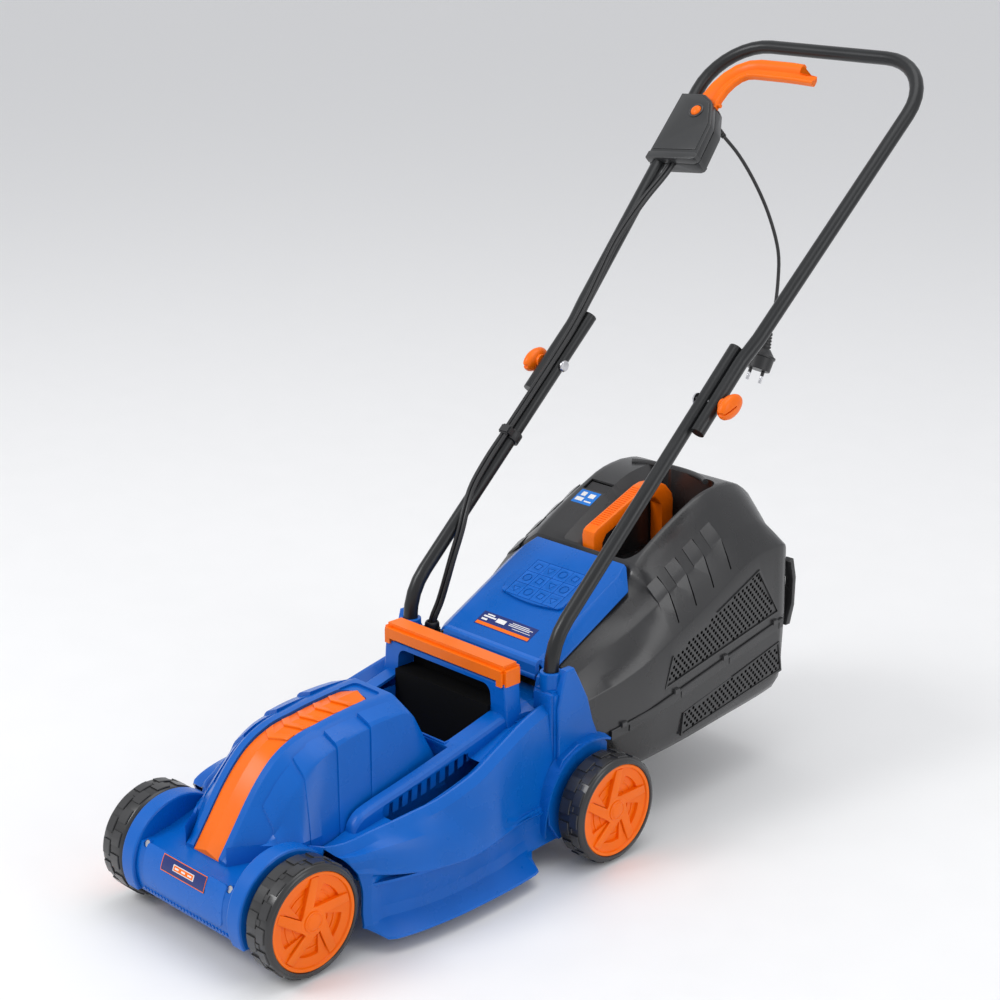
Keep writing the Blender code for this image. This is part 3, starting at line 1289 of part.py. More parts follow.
# ---------------------------------------------------------------- assembly
make_deck()
make_carry_grip()
make_nose_screw("nose_screw_right", -1)
make_nose_screw("nose_screw_left", 1)
make_hood()
make_stripe()
make_stator()
make_bearing("lower_bearing", 0.0862, 0.034)
make_bearing("upper_bearing", 0.1712, 0.046)
make_rotor()
make_fan()
make_blade_holder()
make_blade()
make_blade_bolt()
make_capacitor()
for wheel, wheel_y, wheel_x in (("front", 0.0, FRONT_WHEEL_OUTER_X), ("rear", WHEELBASE, REAR_WHEEL_OUTER_X)):
    make_axle(wheel + "_axle", wheel_y, wheel_x)
    make_wheel(wheel + "_left", wheel_y, wheel_x, 1)
    make_wheel(wheel + "_right", wheel_y, wheel_x, -1)
make_lower_tube("lower_tube_left", 1)
make_lower_tube("lower_tube_right", -1)
make_upper_handle()
for hand, hand_side in (("left", 1), ("right", -1)):
    make_pivot_bolt("pivot_bolt_" + hand, hand_side)
    make_knob("knob_" + hand, hand_side)
make_switch_box()
make_button()
make_bail_lever()
make_handle_cable("motor_cable_upper_a", -0.0036)
make_handle_cable("motor_cable_upper_b", 0.0036)
make_deck_cable("motor_cable_lower_a", -0.0036)
make_deck_cable("motor_cable_lower_b", 0.0036)
make_clip()
make_gland()
make_flap()
make_flap_rod()
make_flap_spring()
make_box_upper()
make_box_lower()
make_box_handle()
make_indicator()
make_cord()
make_cord_sleeve()
make_plug()
make_pin("plug_pin_a", -1)
make_pin("plug_pin_b", 1)
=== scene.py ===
"""The looks of the electric lawn mower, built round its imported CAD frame."""

import json  # noqa: E402
from math import atan2, cos, hypot, pi, radians, sin, sqrt, tan  # noqa: E402

import bmesh  # noqa: E402
import bpy  # noqa: E402
from mathutils import Matrix, Vector  # noqa: E402


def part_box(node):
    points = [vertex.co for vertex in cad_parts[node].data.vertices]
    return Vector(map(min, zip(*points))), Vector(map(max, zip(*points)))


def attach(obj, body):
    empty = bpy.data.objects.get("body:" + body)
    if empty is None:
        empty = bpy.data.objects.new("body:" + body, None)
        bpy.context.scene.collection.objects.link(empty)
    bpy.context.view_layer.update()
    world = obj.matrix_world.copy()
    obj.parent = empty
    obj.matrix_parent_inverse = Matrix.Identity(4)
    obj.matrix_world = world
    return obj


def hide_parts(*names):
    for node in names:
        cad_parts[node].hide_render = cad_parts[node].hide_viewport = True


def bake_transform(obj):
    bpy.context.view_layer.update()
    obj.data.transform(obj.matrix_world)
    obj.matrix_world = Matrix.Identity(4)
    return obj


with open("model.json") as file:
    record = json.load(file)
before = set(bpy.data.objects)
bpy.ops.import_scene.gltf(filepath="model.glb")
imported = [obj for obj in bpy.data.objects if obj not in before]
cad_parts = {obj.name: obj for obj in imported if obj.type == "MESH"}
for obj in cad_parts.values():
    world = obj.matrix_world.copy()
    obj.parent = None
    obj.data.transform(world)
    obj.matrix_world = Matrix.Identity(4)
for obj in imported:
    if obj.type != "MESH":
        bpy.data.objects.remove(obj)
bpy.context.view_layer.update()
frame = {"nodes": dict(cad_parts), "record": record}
NODES = frame["nodes"]
BODY_OF = {n: b for b, ns in frame["record"]["behaviour"]["bodies"].items() for n in ns}

# Sizes here are in a frame with its zero on the ground under the front axle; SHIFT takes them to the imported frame.
axle_low, axle_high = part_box("front_axle")
SHIFT = Vector((0, (axle_low.y + axle_high.y) / 2, 0))

# ---------------------------------------------------------------- camera
CAMERA_AZIMUTH, CAMERA_ELEVATION = 45.43, 17.995
CAMERA_PLACE = Vector((1.8137, -1.3403, 1.2559))
LENS = 76.67


def make_camera():
    """A long lens in front of the nose, to the mower's left, a little above it."""
    data = bpy.data.cameras.new("camera")
    data.lens = LENS
    data.sensor_width = 36
    data.clip_end = 100
    camera = bpy.data.objects.new("camera", data)
    bpy.context.scene.collection.objects.link(camera)
    a, e = radians(CAMERA_AZIMUTH), radians(CAMERA_ELEVATION)
    back = Vector((sin(a) * cos(e), -cos(a) * cos(e), sin(e)))
    camera.location = CAMERA_PLACE + SHIFT
    camera.rotation_mode = "QUATERNION"
    camera.rotation_quaternion = (-back).to_track_quat("-Z", "Y")
    bpy.context.scene.camera = camera


make_camera()


# ---------------------------------------------------------------- materials
def add_node(tree, kind, **inputs):
    """A shader node with its inputs or settings filled in."""
    node = tree.nodes.new(kind)
    for key, value in inputs.items():
        key = key.replace("_", " ")
        if key in node.inputs:
            node.inputs[key].default_value = value
        else:
            setattr(node, key.replace(" ", "_"), value)
    return node


def surface(name, colour, rough, metallic=0.0, grain=(900.0, 0.1), blotch=0.06, coat=0.0, wear=0.0, ior=1.5):
    """A moulded or painted finish: faint cloudy variation, a fine grain, and paler worn edges."""
    mat = bpy.data.materials.new(name)
    mat.use_nodes = True
    tree = mat.node_tree
    link = tree.links.new
    shader = tree.nodes["Principled BSDF"]
    shader.inputs["Metallic"].default_value = metallic
    shader.inputs["IOR"].default_value = ior
    shader.inputs["Coat Weight"].default_value = coat
    shader.inputs["Coat Roughness"].default_value = 0.12
    place = add_node(tree, "ShaderNodeTexCoord")
    cloud = add_node(tree, "ShaderNodeTexNoise", Scale=14.0, Detail=4.0, Roughness=0.55)
    link(place.outputs["Object"], cloud.inputs["Vector"])
    ramp = tree.nodes.new("ShaderNodeMapRange")
    ramp.inputs["From Min"].default_value = 0.3
    ramp.inputs["From Max"].default_value = 0.7
    ramp.inputs["To Min"].default_value = 1 - blotch
    ramp.inputs["To Max"].default_value = 1 + blotch
    link(cloud.outputs["Fac"], ramp.inputs["Value"])
    tint = add_node(tree, "ShaderNodeVectorMath", operation="SCALE")
    tint.inputs[0].default_value = colour
    link(ramp.outputs["Result"], tint.inputs["Scale"])
    last = tint.outputs["Vector"]
    if wear:
        edge = add_node(tree, "ShaderNodeNewGeometry")
        band = tree.nodes.new("ShaderNodeMapRange")
        band.inputs["From Min"].default_value = 0.52
        band.inputs["From Max"].default_value = 0.62
        band.inputs["To Max"].default_value = wear
        link(edge.outputs["Pointiness"], band.inputs["Value"])
        mix = add_node(tree, "ShaderNodeMix", data_type="RGBA")
        mix.inputs["B"].default_value = (*[min(1.0, c * 1.6 + 0.03) for c in colour], 1)
        link(band.outputs["Result"], mix.inputs["Factor"])
        link(last, mix.inputs["A"])
        last = mix.outputs["Result"]
    link(last, shader.inputs["Base Color"])
    shine = tree.nodes.new("ShaderNodeMapRange")
    shine.inputs["From Min"].default_value = 0.3
    shine.inputs["From Max"].default_value = 0.7
    shine.inputs["To Min"].default_value = rough * 0.86
    shine.inputs["To Max"].default_value = rough * 1.14
    link(cloud.outputs["Fac"], shine.inputs["Value"])
    link(shine.outputs["Result"], shader.inputs["Roughness"])
    fine = add_node(tree, "ShaderNodeTexNoise", Scale=grain[0], Detail=2.0)
    link(place.outputs["Object"], fine.inputs["Vector"])
    bump = add_node(tree, "ShaderNodeBump", Strength=grain[1], Distance=0.0004)
    link(fine.outputs["Fac"], bump.inputs["Height"])
    link(bump.outputs["Normal"], shader.inputs["Normal"])
    return mat


BLUE = surface("blue_plastic", (0.0, 0.105, 0.46), 0.28, wear=0.3, ior=1.34)
ORANGE = surface("orange_plastic", (0.9, 0.15, 0.0), 0.34, wear=0.15, ior=1.34)
GREY = surface("grey_plastic", (0.026, 0.026, 0.027), 0.38, grain=(1400.0, 0.22), wear=0.25)
DARK = surface("black_plastic", (0.012, 0.012, 0.013), 0.4, wear=0.2)
RUBBER = surface("rubber", (0.014, 0.014, 0.015), 0.36, wear=0.15)
TYRE = surface("tyre_rubber", (0.02, 0.02, 0.021), 0.3, grain=(600.0, 0.1), wear=0.25, coat=0.15)
PAINT = surface("tube_paint", (0.018, 0.019, 0.02), 0.33, metallic=0.35, grain=(700.0, 0.12))
STEEL = surface("steel", (0.6, 0.6, 0.62), 0.28, metallic=1.0, grain=(500.0, 0.06))
COPPER = surface("copper_winding", (0.65, 0.25, 0.1), 0.4, metallic=1.0)
FINISH = {
    "blue_plastic": BLUE, "orange_plastic": ORANGE, "grey_plastic": GREY, "black_plastic": DARK,
    "rubber": RUBBER, "tube_paint": PAINT, "steel": STEEL, "copper_winding": COPPER,
}


def dress(node, mat, bevel=0.0, angle=30):
    """Gives a CAD node its finish, and rounds its edges a little."""
    obj = NODES[node]
    obj.data.materials.clear()
    obj.data.materials.append(mat)
    if bevel:
        weld = obj.modifiers.new("weld", "WELD")
        weld.merge_threshold = 1e-5
        cuts = obj.modifiers.new("bevel", "BEVEL")
        cuts.width = bevel
        cuts.segments = 2
        cuts.limit_method = "ANGLE"
        cuts.angle_limit = radians(angle)
        cuts.harden_normals = True
    return obj


# ---------------------------------------------------------------- light, floor
def make_light(name, place, target, size, power, colour=(1, 1, 1)):
    data = bpy.data.lights.new(name, "AREA")
    data.shape = "RECTANGLE"
    data.size, data.size_y = size
    data.energy = power
    data.color = colour
    light = bpy.data.objects.new(name, data)
    light.location = place
    light.rotation_mode = "QUATERNION"
    light.rotation_quaternion = (Vector(target) - Vector(place)).to_track_quat("-Z", "Y")
    bpy.context.scene.collection.objects.link(light)
    return light


def make_stage():
    """The pale floor, the even sky and three soft lamps."""
    bm = bmesh.new()
    bmesh.ops.create_circle(bm, cap_ends=True, radius=14, segments=64)
    mesh = bpy.data.meshes.new("floor")
    bm.to_mesh(mesh)
    bm.free()
    floor = bpy.data.objects.new("floor", mesh)
    bpy.context.scene.collection.objects.link(floor)
    floor.location.z = -0.0005
    mesh.materials.append(surface("floor_paint", (0.86, 0.86, 0.86), 0.6, blotch=0.004, grain=(60.0, 0.0)))
    world = bpy.data.worlds.new("studio")
    bpy.context.scene.world = world
    world.use_nodes = True
    world.node_tree.nodes["Background"].inputs["Color"].default_value = (0.96, 0.97, 1.0, 1)
    world.node_tree.nodes["Background"].inputs["Strength"].default_value = 0.72
    make_light("key", (-1.6, -3.0, 3.2), (0, 0, 0.3), (1.6, 1.6), 70)
    make_light("top", (0.3, 0.3, 3.6), (0, 0, 0.2), (3.0, 2.0), 34)
    make_light("side", (3.6, 0.6, 1.6), (0, 0, 0.3), (1.2, 2.4), 24)
    view = bpy.context.scene.view_settings
    view.view_transform = "Standard"
    view.look = "None"


NAVY = surface("navy_print", (0.004, 0.02, 0.16), 0.35)
PALE = surface("white_print", (0.8, 0.8, 0.8), 0.4)
# A flat, almost lightless black used as painted shade: it fills the carry opening under the grip.
PAINTED_SHADE = surface("painted_shade_black", (0.004, 0.004, 0.004), 0.85, ior=1.2)
BOX_GREY = surface("box_plastic", (0.02, 0.02, 0.021), 0.28, grain=(1400.0, 0.15), wear=0.35, coat=0.12)
SKY = surface("sky_print", (0.0, 0.17, 0.62), 0.35)
SWITCH_GREY = surface("switch_plastic", (0.022, 0.023, 0.024), 0.32, grain=(1400.0, 0.2), wear=0.35, coat=0.1)


# ---------------------------------------------------------------- modelling helpers
def mesh_from(bm):
    """A mesh from the edit data, its faces turned outwards."""
    bmesh.ops.recalc_face_normals(bm, faces=bm.faces)
    mesh = bpy.data.meshes.new("piece")
    bm.to_mesh(mesh)
    bm.free()
    return mesh


def box_mesh(low, high, bevel=0.0, segments=2):
    """A block between two corners, its edges rounded by the bevel."""
    bm = bmesh.new()
    size = [b - a for a, b in zip(low, high)]
    middle = [(a + b) / 2 for a, b in zip(low, high)]
    bmesh.ops.create_cube(bm, size=1)
    bmesh.ops.scale(bm, vec=size, verts=bm.verts)
    if bevel:
        bmesh.ops.bevel(bm, geom=bm.edges, offset=bevel, segments=segments, affect="EDGES")
    bmesh.ops.translate(bm, vec=middle, verts=bm.verts)
    return mesh_from(bm)


def facing(direction):
    """The turn that takes +Z to a direction."""
    return Vector(direction).to_track_quat("Z", "Y").to_matrix().to_4x4()


def lathe(profile, centre, direction, steps=48):
    """A profile of (radius, height) points, from one end of the axis to the other, turned into a closed solid."""
    bm = bmesh.new()
    rings = []
    for radius, height in profile:
        if radius < 1e-6:
            rings.append([bm.verts.new((0, 0, height))])
            continue
        rings.append([
            bm.verts.new((radius * cos(2 * pi * i / steps), radius * sin(2 * pi * i / steps), height))
            for i in range(steps)
        ])
    pairs = list(zip(rings, rings[1:]))
    if len(rings[0]) > 1 and len(rings[-1]) > 1:
        pairs.append((rings[-1], rings[0]))
    for a, b in pairs:
        for i in range(steps):
            j = (i + 1) % steps
            corners = [a[i % len(a)], a[j % len(a)], b[j % len(b)], b[i % len(b)]]
            corners = list(dict.fromkeys(corners))
            if len(corners) > 2:
                bm.faces.new(corners)
    bmesh.ops.transform(bm, matrix=Matrix.Translation(centre) @ facing(direction), verts=bm.verts)
    return mesh_from(bm)


def rod_mesh(start, direction, length, radius, sides=32, end_radius=None, bevel=0.0):
    """A cylinder or cone from start along the direction, its rims rounded by the bevel."""
    end = radius if end_radius is None else end_radius
    b = bevel
    profile = [(0, 0), (radius - b, 0)]
    if b:
        profile += [(radius - b * 0.3, b * 0.3), (radius, b)]
    profile += [(end, length - b)]
    if b:
        profile += [(end - b * 0.3, length - b * 0.3), (end - b, length)]
    profile.append((0, length))
    return lathe(profile, start, direction, sides)


def arc(centre, radius, start, end, steps):
    """Points round a centre, from one angle to another in degrees."""
    for i in range(steps + 1):
        a = radians(start + (end - start) * i / steps)
        yield (centre[0] + radius * cos(a), centre[1] + radius * sin(a))


def evaluated_mesh(obj):
    mesh = bpy.data.meshes.new_from_object(obj.evaluated_get(bpy.context.evaluated_depsgraph_get()))
    bpy.data.objects.remove(obj)
    return mesh


def linked(data):
    holder = bpy.data.objects.new("holder", data)
    bpy.context.scene.collection.objects.link(holder)
    return holder


def temporary(data):
    holder = linked(data)
    bpy.context.view_layer.update()
    return holder


PLANE_TURN = {
    "XY": Matrix.Identity(4),
    "XZ": Matrix.Rotation(pi / 2, 4, "X"),
    "YZ": Matrix(((0, 0, 1, 0), (1, 0, 0, 0), (0, 1, 0, 0), (0, 0, 0, 1))),
}
PLANE_NORMAL = {"XY": (0, 0, 1), "XZ": (0, 1, 0), "YZ": (1, 0, 0)}


def plate_mesh(outline, plane, low, high, holes=(), bevel=0.0):
    """A flat outline with holes, given thickness from low to high across its plane, with rounded rims."""
    curve = bpy.data.curves.new("outline", "CURVE")
    curve.dimensions = "2D"
    curve.fill_mode = "BOTH"
    curve.extrude = (high - low) / 2 - bevel
    curve.bevel_depth = bevel
    curve.bevel_resolution = 1
    curve.offset = -bevel
    for ring in (outline, *holes):
        points = list(ring)
        spline = curve.splines.new("POLY")
        spline.points.add(len(points) - 1)
        for point, (u, v) in zip(spline.points, points):
            point.co = (u, v, 0, 1)
        spline.use_cyclic_u = True
    mesh = evaluated_mesh(temporary(curve))
    bm = bmesh.new()
    bm.from_mesh(mesh)
    bmesh.ops.remove_doubles(bm, verts=bm.verts, dist=1e-6)
    middle = Vector(PLANE_NORMAL[plane]) * ((low + high) / 2)
    bmesh.ops.transform(bm, matrix=Matrix.Translation(middle) @ PLANE_TURN[plane], verts=bm.verts)
    return mesh_from(bm)


def side_plate(side, outline, inner_x, outer_x, holes=(), bevel=0.0):
    """A plate across the mower, from inner_x to outer_x on the left (side 1) or the right (side -1)."""
    low, high = sorted((side * inner_x, side * outer_x))
    return plate_mesh(outline, "YZ", low, high, holes, bevel)


def side_box(side, inner_x, outer_x, low, high, bevel=0.0, segments=2):
    """A block from inner_x to outer_x on one side, between two (y, z) corners."""
    low_x, high_x = sorted((side * inner_x, side * outer_x))
    return box_mesh((low_x, *low), (high_x, *high), bevel, segments)


def tube_mesh(points, radius, resolution=6):
    curve = bpy.data.curves.new("tube", "CURVE")
    curve.dimensions = "3D"
    curve.bevel_depth = radius
    curve.bevel_resolution = resolution
    curve.use_fill_caps = True
    spline = curve.splines.new("POLY")
    spline.points.add(len(points) - 1)
    for point, place in zip(spline.points, points):
        point.co = (*place, 1)
    return evaluated_mesh(temporary(curve))


def loft(sections):
    """A skin through rings of equally many points."""
    bm = bmesh.new()
    rings = [[bm.verts.new(p) for p in ring] for ring in sections]
    for low, high in zip(rings, rings[1:]):
        for i in range(len(low)):
            j = (i + 1) % len(low)
            bm.faces.new((low[i], low[j], high[j], high[i]))
    bm.faces.new(rings[0])
    bm.faces.new(rings[-1][::-1])
    return mesh_from(bm)


def mirrored_ring(y, half):
    """A section at y from its half of (x, z) points, which starts and ends in the mid-plane."""
    right = [(x, y, z) for x, z in half]
    left = [(-x, y, z) for x, z in reversed(half) if x > 1e-6]
    return right + left


def join(mesh):
    """A boolean step that adds a mesh."""
    return "UNION", mesh


def cut(mesh):
    """A boolean step that takes a mesh away."""
    return "DIFFERENCE", mesh


def carve(mesh, joins=(), cuts=()):
    """A mesh with others joined to it and others cut away, in one evaluation."""
    steps = [join(m) for m in joins] + [cut(m) for m in cuts]
    return boolean_steps(mesh, steps)


def boolean_steps(mesh, steps):
    """The mesh after a list of (operation, mesh) steps, applied in order."""
    helpers = []
    for _, other in steps:
        bm = bmesh.new()
        bm.from_mesh(other)
        bmesh.ops.triangulate(bm, faces=bm.faces)
        bm.to_mesh(other)
        bm.free()
        helpers.append(linked(other))
    base = linked(mesh)
    for (operation, _), helper in zip(steps, helpers):
        modifier = base.modifiers.new("step", "BOOLEAN")
        modifier.operation = operation
        modifier.object = helper
        modifier.solver = "MANIFOLD"
    bpy.context.view_layer.update()
    result = evaluated_mesh(base)
    for helper in helpers:
        bpy.data.objects.remove(helper)
    return result


def between(table, y):
    """A value read from (y, value) pairs along straight lines."""
    for (y0, v0), (y1, v1) in zip(table, table[1:]):
        if y <= y1:
            return v0 + (v1 - v0) * (y - y0) / (y1 - y0)
    return table[-1][1]


def along(table, y):
    """A value read from (y, value) pairs on a smooth curve that doesn't overshoot."""
    ys = [p[0] for p in table]
    vs = [p[1] for p in table]
    if y <= ys[0]:
        return vs[0]
    if y >= ys[-1]:
        return vs[-1]
    i = max(k for k in range(len(ys) - 1) if ys[k] <= y)
    slopes = [(b - a) / (q - p) for a, b, p, q in zip(vs, vs[1:], ys, ys[1:])]

    def tangent(k):
        if k == 0 or k == len(ys) - 1:
            return slopes[min(k, len(slopes) - 1)]
        a, b = slopes[k - 1], slopes[k]
        return 0 if a * b <= 0 else 2 * a * b / (a + b)

    step = ys[i + 1] - ys[i]
    t = (y - ys[i]) / step
    h = [2 * t**3 - 3 * t**2 + 1, t**3 - 2 * t**2 + t, -2 * t**3 + 3 * t**2, t**3 - t**2]
    return h[0] * vs[i] + h[1] * step * tangent(i) + h[2] * vs[i + 1] + h[3] * step * tangent(i + 1)


def spaced(low, high, count):
    """Evenly spaced values, both ends among them."""
    return [low + (high - low) * i / count for i in range(count + 1)]


def piece(name, parts, body, replaces=(), slot=None, smooth=35):
    """One visible object from (mesh, material) parts in the design frame, riding on a body."""
    bm = bmesh.new()
    mats = []
    for mesh, mat in parts:
        if mat not in mats:
            mats.append(mat)
        start = len(bm.faces)
        bm.from_mesh(mesh)
        bm.faces.ensure_lookup_table()
        for face in bm.faces[start:]:
            face.material_index = mats.index(mat)
    bmesh.ops.translate(bm, vec=SHIFT, verts=bm.verts)
    mesh = bpy.data.meshes.new(name)
    bm.to_mesh(mesh)
    bm.free()
    for mat in mats:
        mesh.materials.append(mat)
    mesh.shade_smooth()
    mesh.set_sharp_from_angle(angle=radians(smooth))
    obj = bpy.data.objects.new(name, mesh)
    bpy.context.scene.collection.objects.link(obj)
    if replaces:
        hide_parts(*replaces)
    if body:
        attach(obj, body)
    return obj


def rounded_path(corners, radii):
    """A path through corner points, each inner corner turned on an arc of its radius."""
    corners = [Vector(c) for c in corners]
    path = [corners[0]]
    for before, corner, after, radius in zip(corners, corners[1:], corners[2:], radii):
        a = (before - corner).normalized()
        b = (after - corner).normalized()
        half = a.angle(b) / 2
        reach = radius / tan(half)
        centre = corner + (a + b).normalized() * (radius / sin(half))
        first = corner + a * reach - centre
        last = corner + b * reach - centre
        steps = max(1, round(first.angle(last) / radians(11)))
        for i in range(steps + 1):
            path.append(centre + first.slerp(last, i / steps).normalized() * radius)
    path.append(corners[-1])
    return path


def smooth_path(route, spacing):
    """Points evenly spaced along a smooth curve (centripetal Catmull-Rom) through the route's points."""
    route = [Vector(p) for p in route]
    ends = [route[0] * 2 - route[1], *route, route[-1] * 2 - route[-2]]
    fine = []
    for p0, p1, p2, p3 in zip(ends, ends[1:], ends[2:], ends[3:]):
        knots = [0.0]
        for a, b in ((p0, p1), (p1, p2), (p2, p3)):
            knots.append(knots[-1] + sqrt((b - a).length))
        for i in range(24):
            t = knots[1] + (knots[2] - knots[1]) * i / 24
            a1 = p0.lerp(p1, (t - knots[0]) / (knots[1] - knots[0]))
            a2 = p1.lerp(p2, (t - knots[1]) / (knots[2] - knots[1]))
            a3 = p2.lerp(p3, (t - knots[2]) / (knots[3] - knots[2]))
            b1 = a1.lerp(a2, (t - knots[0]) / (knots[2] - knots[0]))
            b2 = a2.lerp(a3, (t - knots[1]) / (knots[3] - knots[1]))
            fine.append(b1.lerp(b2, (t - knots[1]) / (knots[2] - knots[1])))
    fine.append(route[-1])
    length = sum((b - a).length for a, b in zip(fine, fine[1:]))
    count = max(2, round(length / spacing))
    step, walked, path = length / count, 0.0, [fine[0]]
    for a, b in zip(fine, fine[1:]):
        piece = (b - a).length
        while walked + piece >= step * len(path) and len(path) < count:
            path.append(a.lerp(b, (step * len(path) - walked) / piece))
        walked += piece
    path.append(fine[-1])
    return path

# ---------------------------------------------------------------- sizes shared with the CAD part
WHEEL_RADIUS, WHEELBASE = 0.07, 0.4486
AXLE_HEIGHT, AXLE_RADIUS, HEIGHT_TRAVEL = 0.07, 0.005, 0.04
TUBE_RADIUS = 0.0095
LOWER_TUBE_X, LOWER_TUBE_Y = 0.1285, 0.408
MOTOR_Y, CEILING_Z, WALL = 0.205, 0.082, 0.003
GLAND = (-0.1215, 0.44, 0.2055)
FLAP_ROD = (0.425, 0.2215)

# ---------------------------------------------------------------- deck
RIDGE_X = ((0.037, 0.06), (0.05, 0.108), (0.062, 0.12), (0.078, 0.127), (0.1, 0.135), (0.15, 0.145),
    (0.2, 0.15), (0.25, 0.149), (0.3, 0.142), (0.36, 0.133), (0.42, 0.1285))
RIDGE_Z = ((0.037, 0.124), (0.05, 0.128), (0.078, 0.132), (0.1, 0.1385), (0.15, 0.147), (0.2, 0.154),
    (0.25, 0.165), (0.3, 0.181), (0.36, 0.2), (0.4, 0.209), (0.43, 0.211))
CREASE_X = ((0.037, 0.1), (0.06, 0.143), (0.1, 0.158), (0.15, 0.167), (0.2, 0.1705), (0.25, 0.169),
    (0.29, 0.164), (0.32, 0.1565), (0.345, 0.1515), (0.43, 0.151))
CREASE_Z = ((0.037, 0.117), (0.06, 0.1225), (0.12, 0.126), (0.197, 0.125), (0.25, 0.1195), (0.283, 0.112),
    (0.305, 0.094), (0.33, 0.086), (0.43, 0.084))
EDGE_X = ((0.037, 0.104), (0.06, 0.149), (0.078, 0.157), (0.1, 0.165), (0.13, 0.174), (0.17, 0.1815),
    (0.21, 0.1835), (0.25, 0.18), (0.275, 0.1745), (0.3, 0.167), (0.34, 0.158), (0.43, 0.157))
EDGE_Z = ((0.037, 0.106), (0.07, 0.101), (0.118, 0.091), (0.171, 0.083), (0.236, 0.079), (0.275, 0.08),
    (0.3, 0.079), (0.43, 0.076))
SKIRT_X = ((0.037, 0.1), (0.078, 0.152), (0.088, 0.168), (0.1, 0.18), (0.15, 0.1895), (0.2, 0.1925),
    (0.26, 0.191), (0.325, 0.185), (0.336, 0.18), (0.346, 0.154), (0.43, 0.154))
UNDERCUT = ((0.037, 0.002), (0.085, 0.003), (0.11, 0.013), (0.25, 0.013), (0.285, 0.007), (0.33, 0.0045),
    (0.43, 0.004))
SKIRT_FOOT_Z = ((0.037, 0.03), (0.078, 0.03), (0.095, 0.018), (0.334, 0.018), (0.35, 0.03), (0.43, 0.034))


def deck_half(y, inset):
    """Half of the deck's cross-section: gutter, ridge, bright band, wall, shelf, undercut and flared skirt."""
    rx, rz = along(RIDGE_X, y), along(RIDGE_Z, y)
    cx, cz = along(CREASE_X, y), along(CREASE_Z, y)
    ex, ez = along(EDGE_X, y), along(EDGE_Z, y)
    ux = ex - along(UNDERCUT, y)
    foot = along(SKIRT_FOOT_Z, y)
    fx = max(along(SKIRT_X, y), ux)
    bx, bz = rx + 0.011, rz - 0.0095
    points = [(0, rz - 0.012), (rx - 0.016, rz - 0.012), (rx - 0.003, rz - 0.0012), (rx, rz),
        (rx + 0.002, rz - 0.0008), (bx, bz), (bx + (cx - bx) * 0.42, bz + (cz - bz) * 0.52), (cx, cz),
        (cx + (ex - cx) * 0.5, cz + (ez - cz) * 0.3), (ex - 0.0025, ez + (cz - ez) * 0.3), (ex, ez + 0.002),
        (ex - 0.0008, ez), (ux + 0.001, ez - 0.003), (ux, ez - 0.006), (ux - 0.002, 0.048),
        (ux + (fx - ux) * 0.05, 0.035), (ux + (fx - ux) * 0.18, 0.0325), (fx - 0.001, foot + 0.003),
        (fx, foot)]
    if inset:
        points = [(max(0.0, x - inset - 0.0005), z - (inset if k < 5 else inset * 0.5)) for k,
            (x, z) in enumerate(points)]
        points[-1] = (points[-1][0], 0.002)
    return points + [(0, points[-1][1])]


def deck_solid(inset):
    """The deck's body, or its hollow when drawn in by the inset."""
    ys = [0.037 + inset, 0.045, 0.0535] + spaced(0.062, 0.118, 7) + spaced(0.126, 0.27, 16)
    ys += spaced(0.278, 0.358, 10) + spaced(0.37, 0.425 - inset, 4)
    return loft([mirrored_ring(y, deck_half(y, inset)) for y in ys])


NOSE_RADIUS, LIP_RADIUS = 0.0665, 0.0715
LEDGE_HALF_WIDTH, CHEEK_OUTER_X, NOSE_BOTTOM_Z = 0.0885, 0.1125, 0.04
VALLEY = ((-0.028, 0.106), (0.046, 0.127), (0.12, 0.131))


def nose_outline(radius, back_y, floor_z):
    """The drum-shaped nose in side view."""
    start = 180 - atan2(floor_z - AXLE_HEIGHT, sqrt(radius**2 - (floor_z - AXLE_HEIGHT) ** 2)) * 180 / pi
    end = atan2(sqrt(radius * radius - back_y * back_y), back_y) * 180 / pi
    return [*arc((0, AXLE_HEIGHT), radius, start, end, 44), (back_y, floor_z)]


def valley():
    """The room above the nose between its two cheeks."""
    lip = [(-0.09, 0.1035), (-0.043, 0.1035), (-0.034, 0.1045), (-0.028, 0.106)]
    rise = [(y, 0.106 + 0.0235 * ((y + 0.028) / 0.08) ** 1.25) for y in spaced(-0.018, 0.052, 8)]
    return plate_mesh(lip + rise + [(0.12, 0.134), (0.12, 0.2), (-0.09, 0.2)], "YZ", -LEDGE_HALF_WIDTH,
        LEDGE_HALF_WIDTH)


def nose_cavity():
    """The nose's hollow."""
    front = list(arc((0, AXLE_HEIGHT), NOSE_RADIUS - WALL, 215, 149, 20))
    roof = [(VALLEY[0][0], VALLEY[0][1] - WALL), (0.028, 0.1195)]
    return plate_mesh(front + roof + [(0.028, -0.01), (-0.052, -0.01)], "YZ", -0.0855, 0.0855)


def cheek(side, inset):
    """The raised side of the nose, next to a front wheel."""
    floor = NOSE_BOTTOM_Z - (0.02 if inset else 0)
    outline = nose_outline(LIP_RADIUS - inset, 0.05 if inset else 0.068, floor)
    return side_plate(side, outline, LEDGE_HALF_WIDTH + inset, CHEEK_OUTER_X - inset,
        bevel=0 if inset else 0.0028)


def wheel_well(side):
    """The room round a front wheel, cut out of the deck's side."""
    outline = [*arc((0, AXLE_HEIGHT), 0.0765, 0, 180, 36),
        *arc((0, AXLE_HEIGHT - HEIGHT_TRAVEL), 0.0765, 180, 360, 36)]
    return side_plate(side, outline, 0.113, 0.24)


PLATFORM_Z = ((0.098, 0.122), (0.101, 0.132), (0.107, 0.141), (0.117, 0.1475), (0.13, 0.151), (0.18, 0.161),
    (0.24, 0.174), (0.3, 0.188), (0.36, 0.202), (0.39, 0.206))


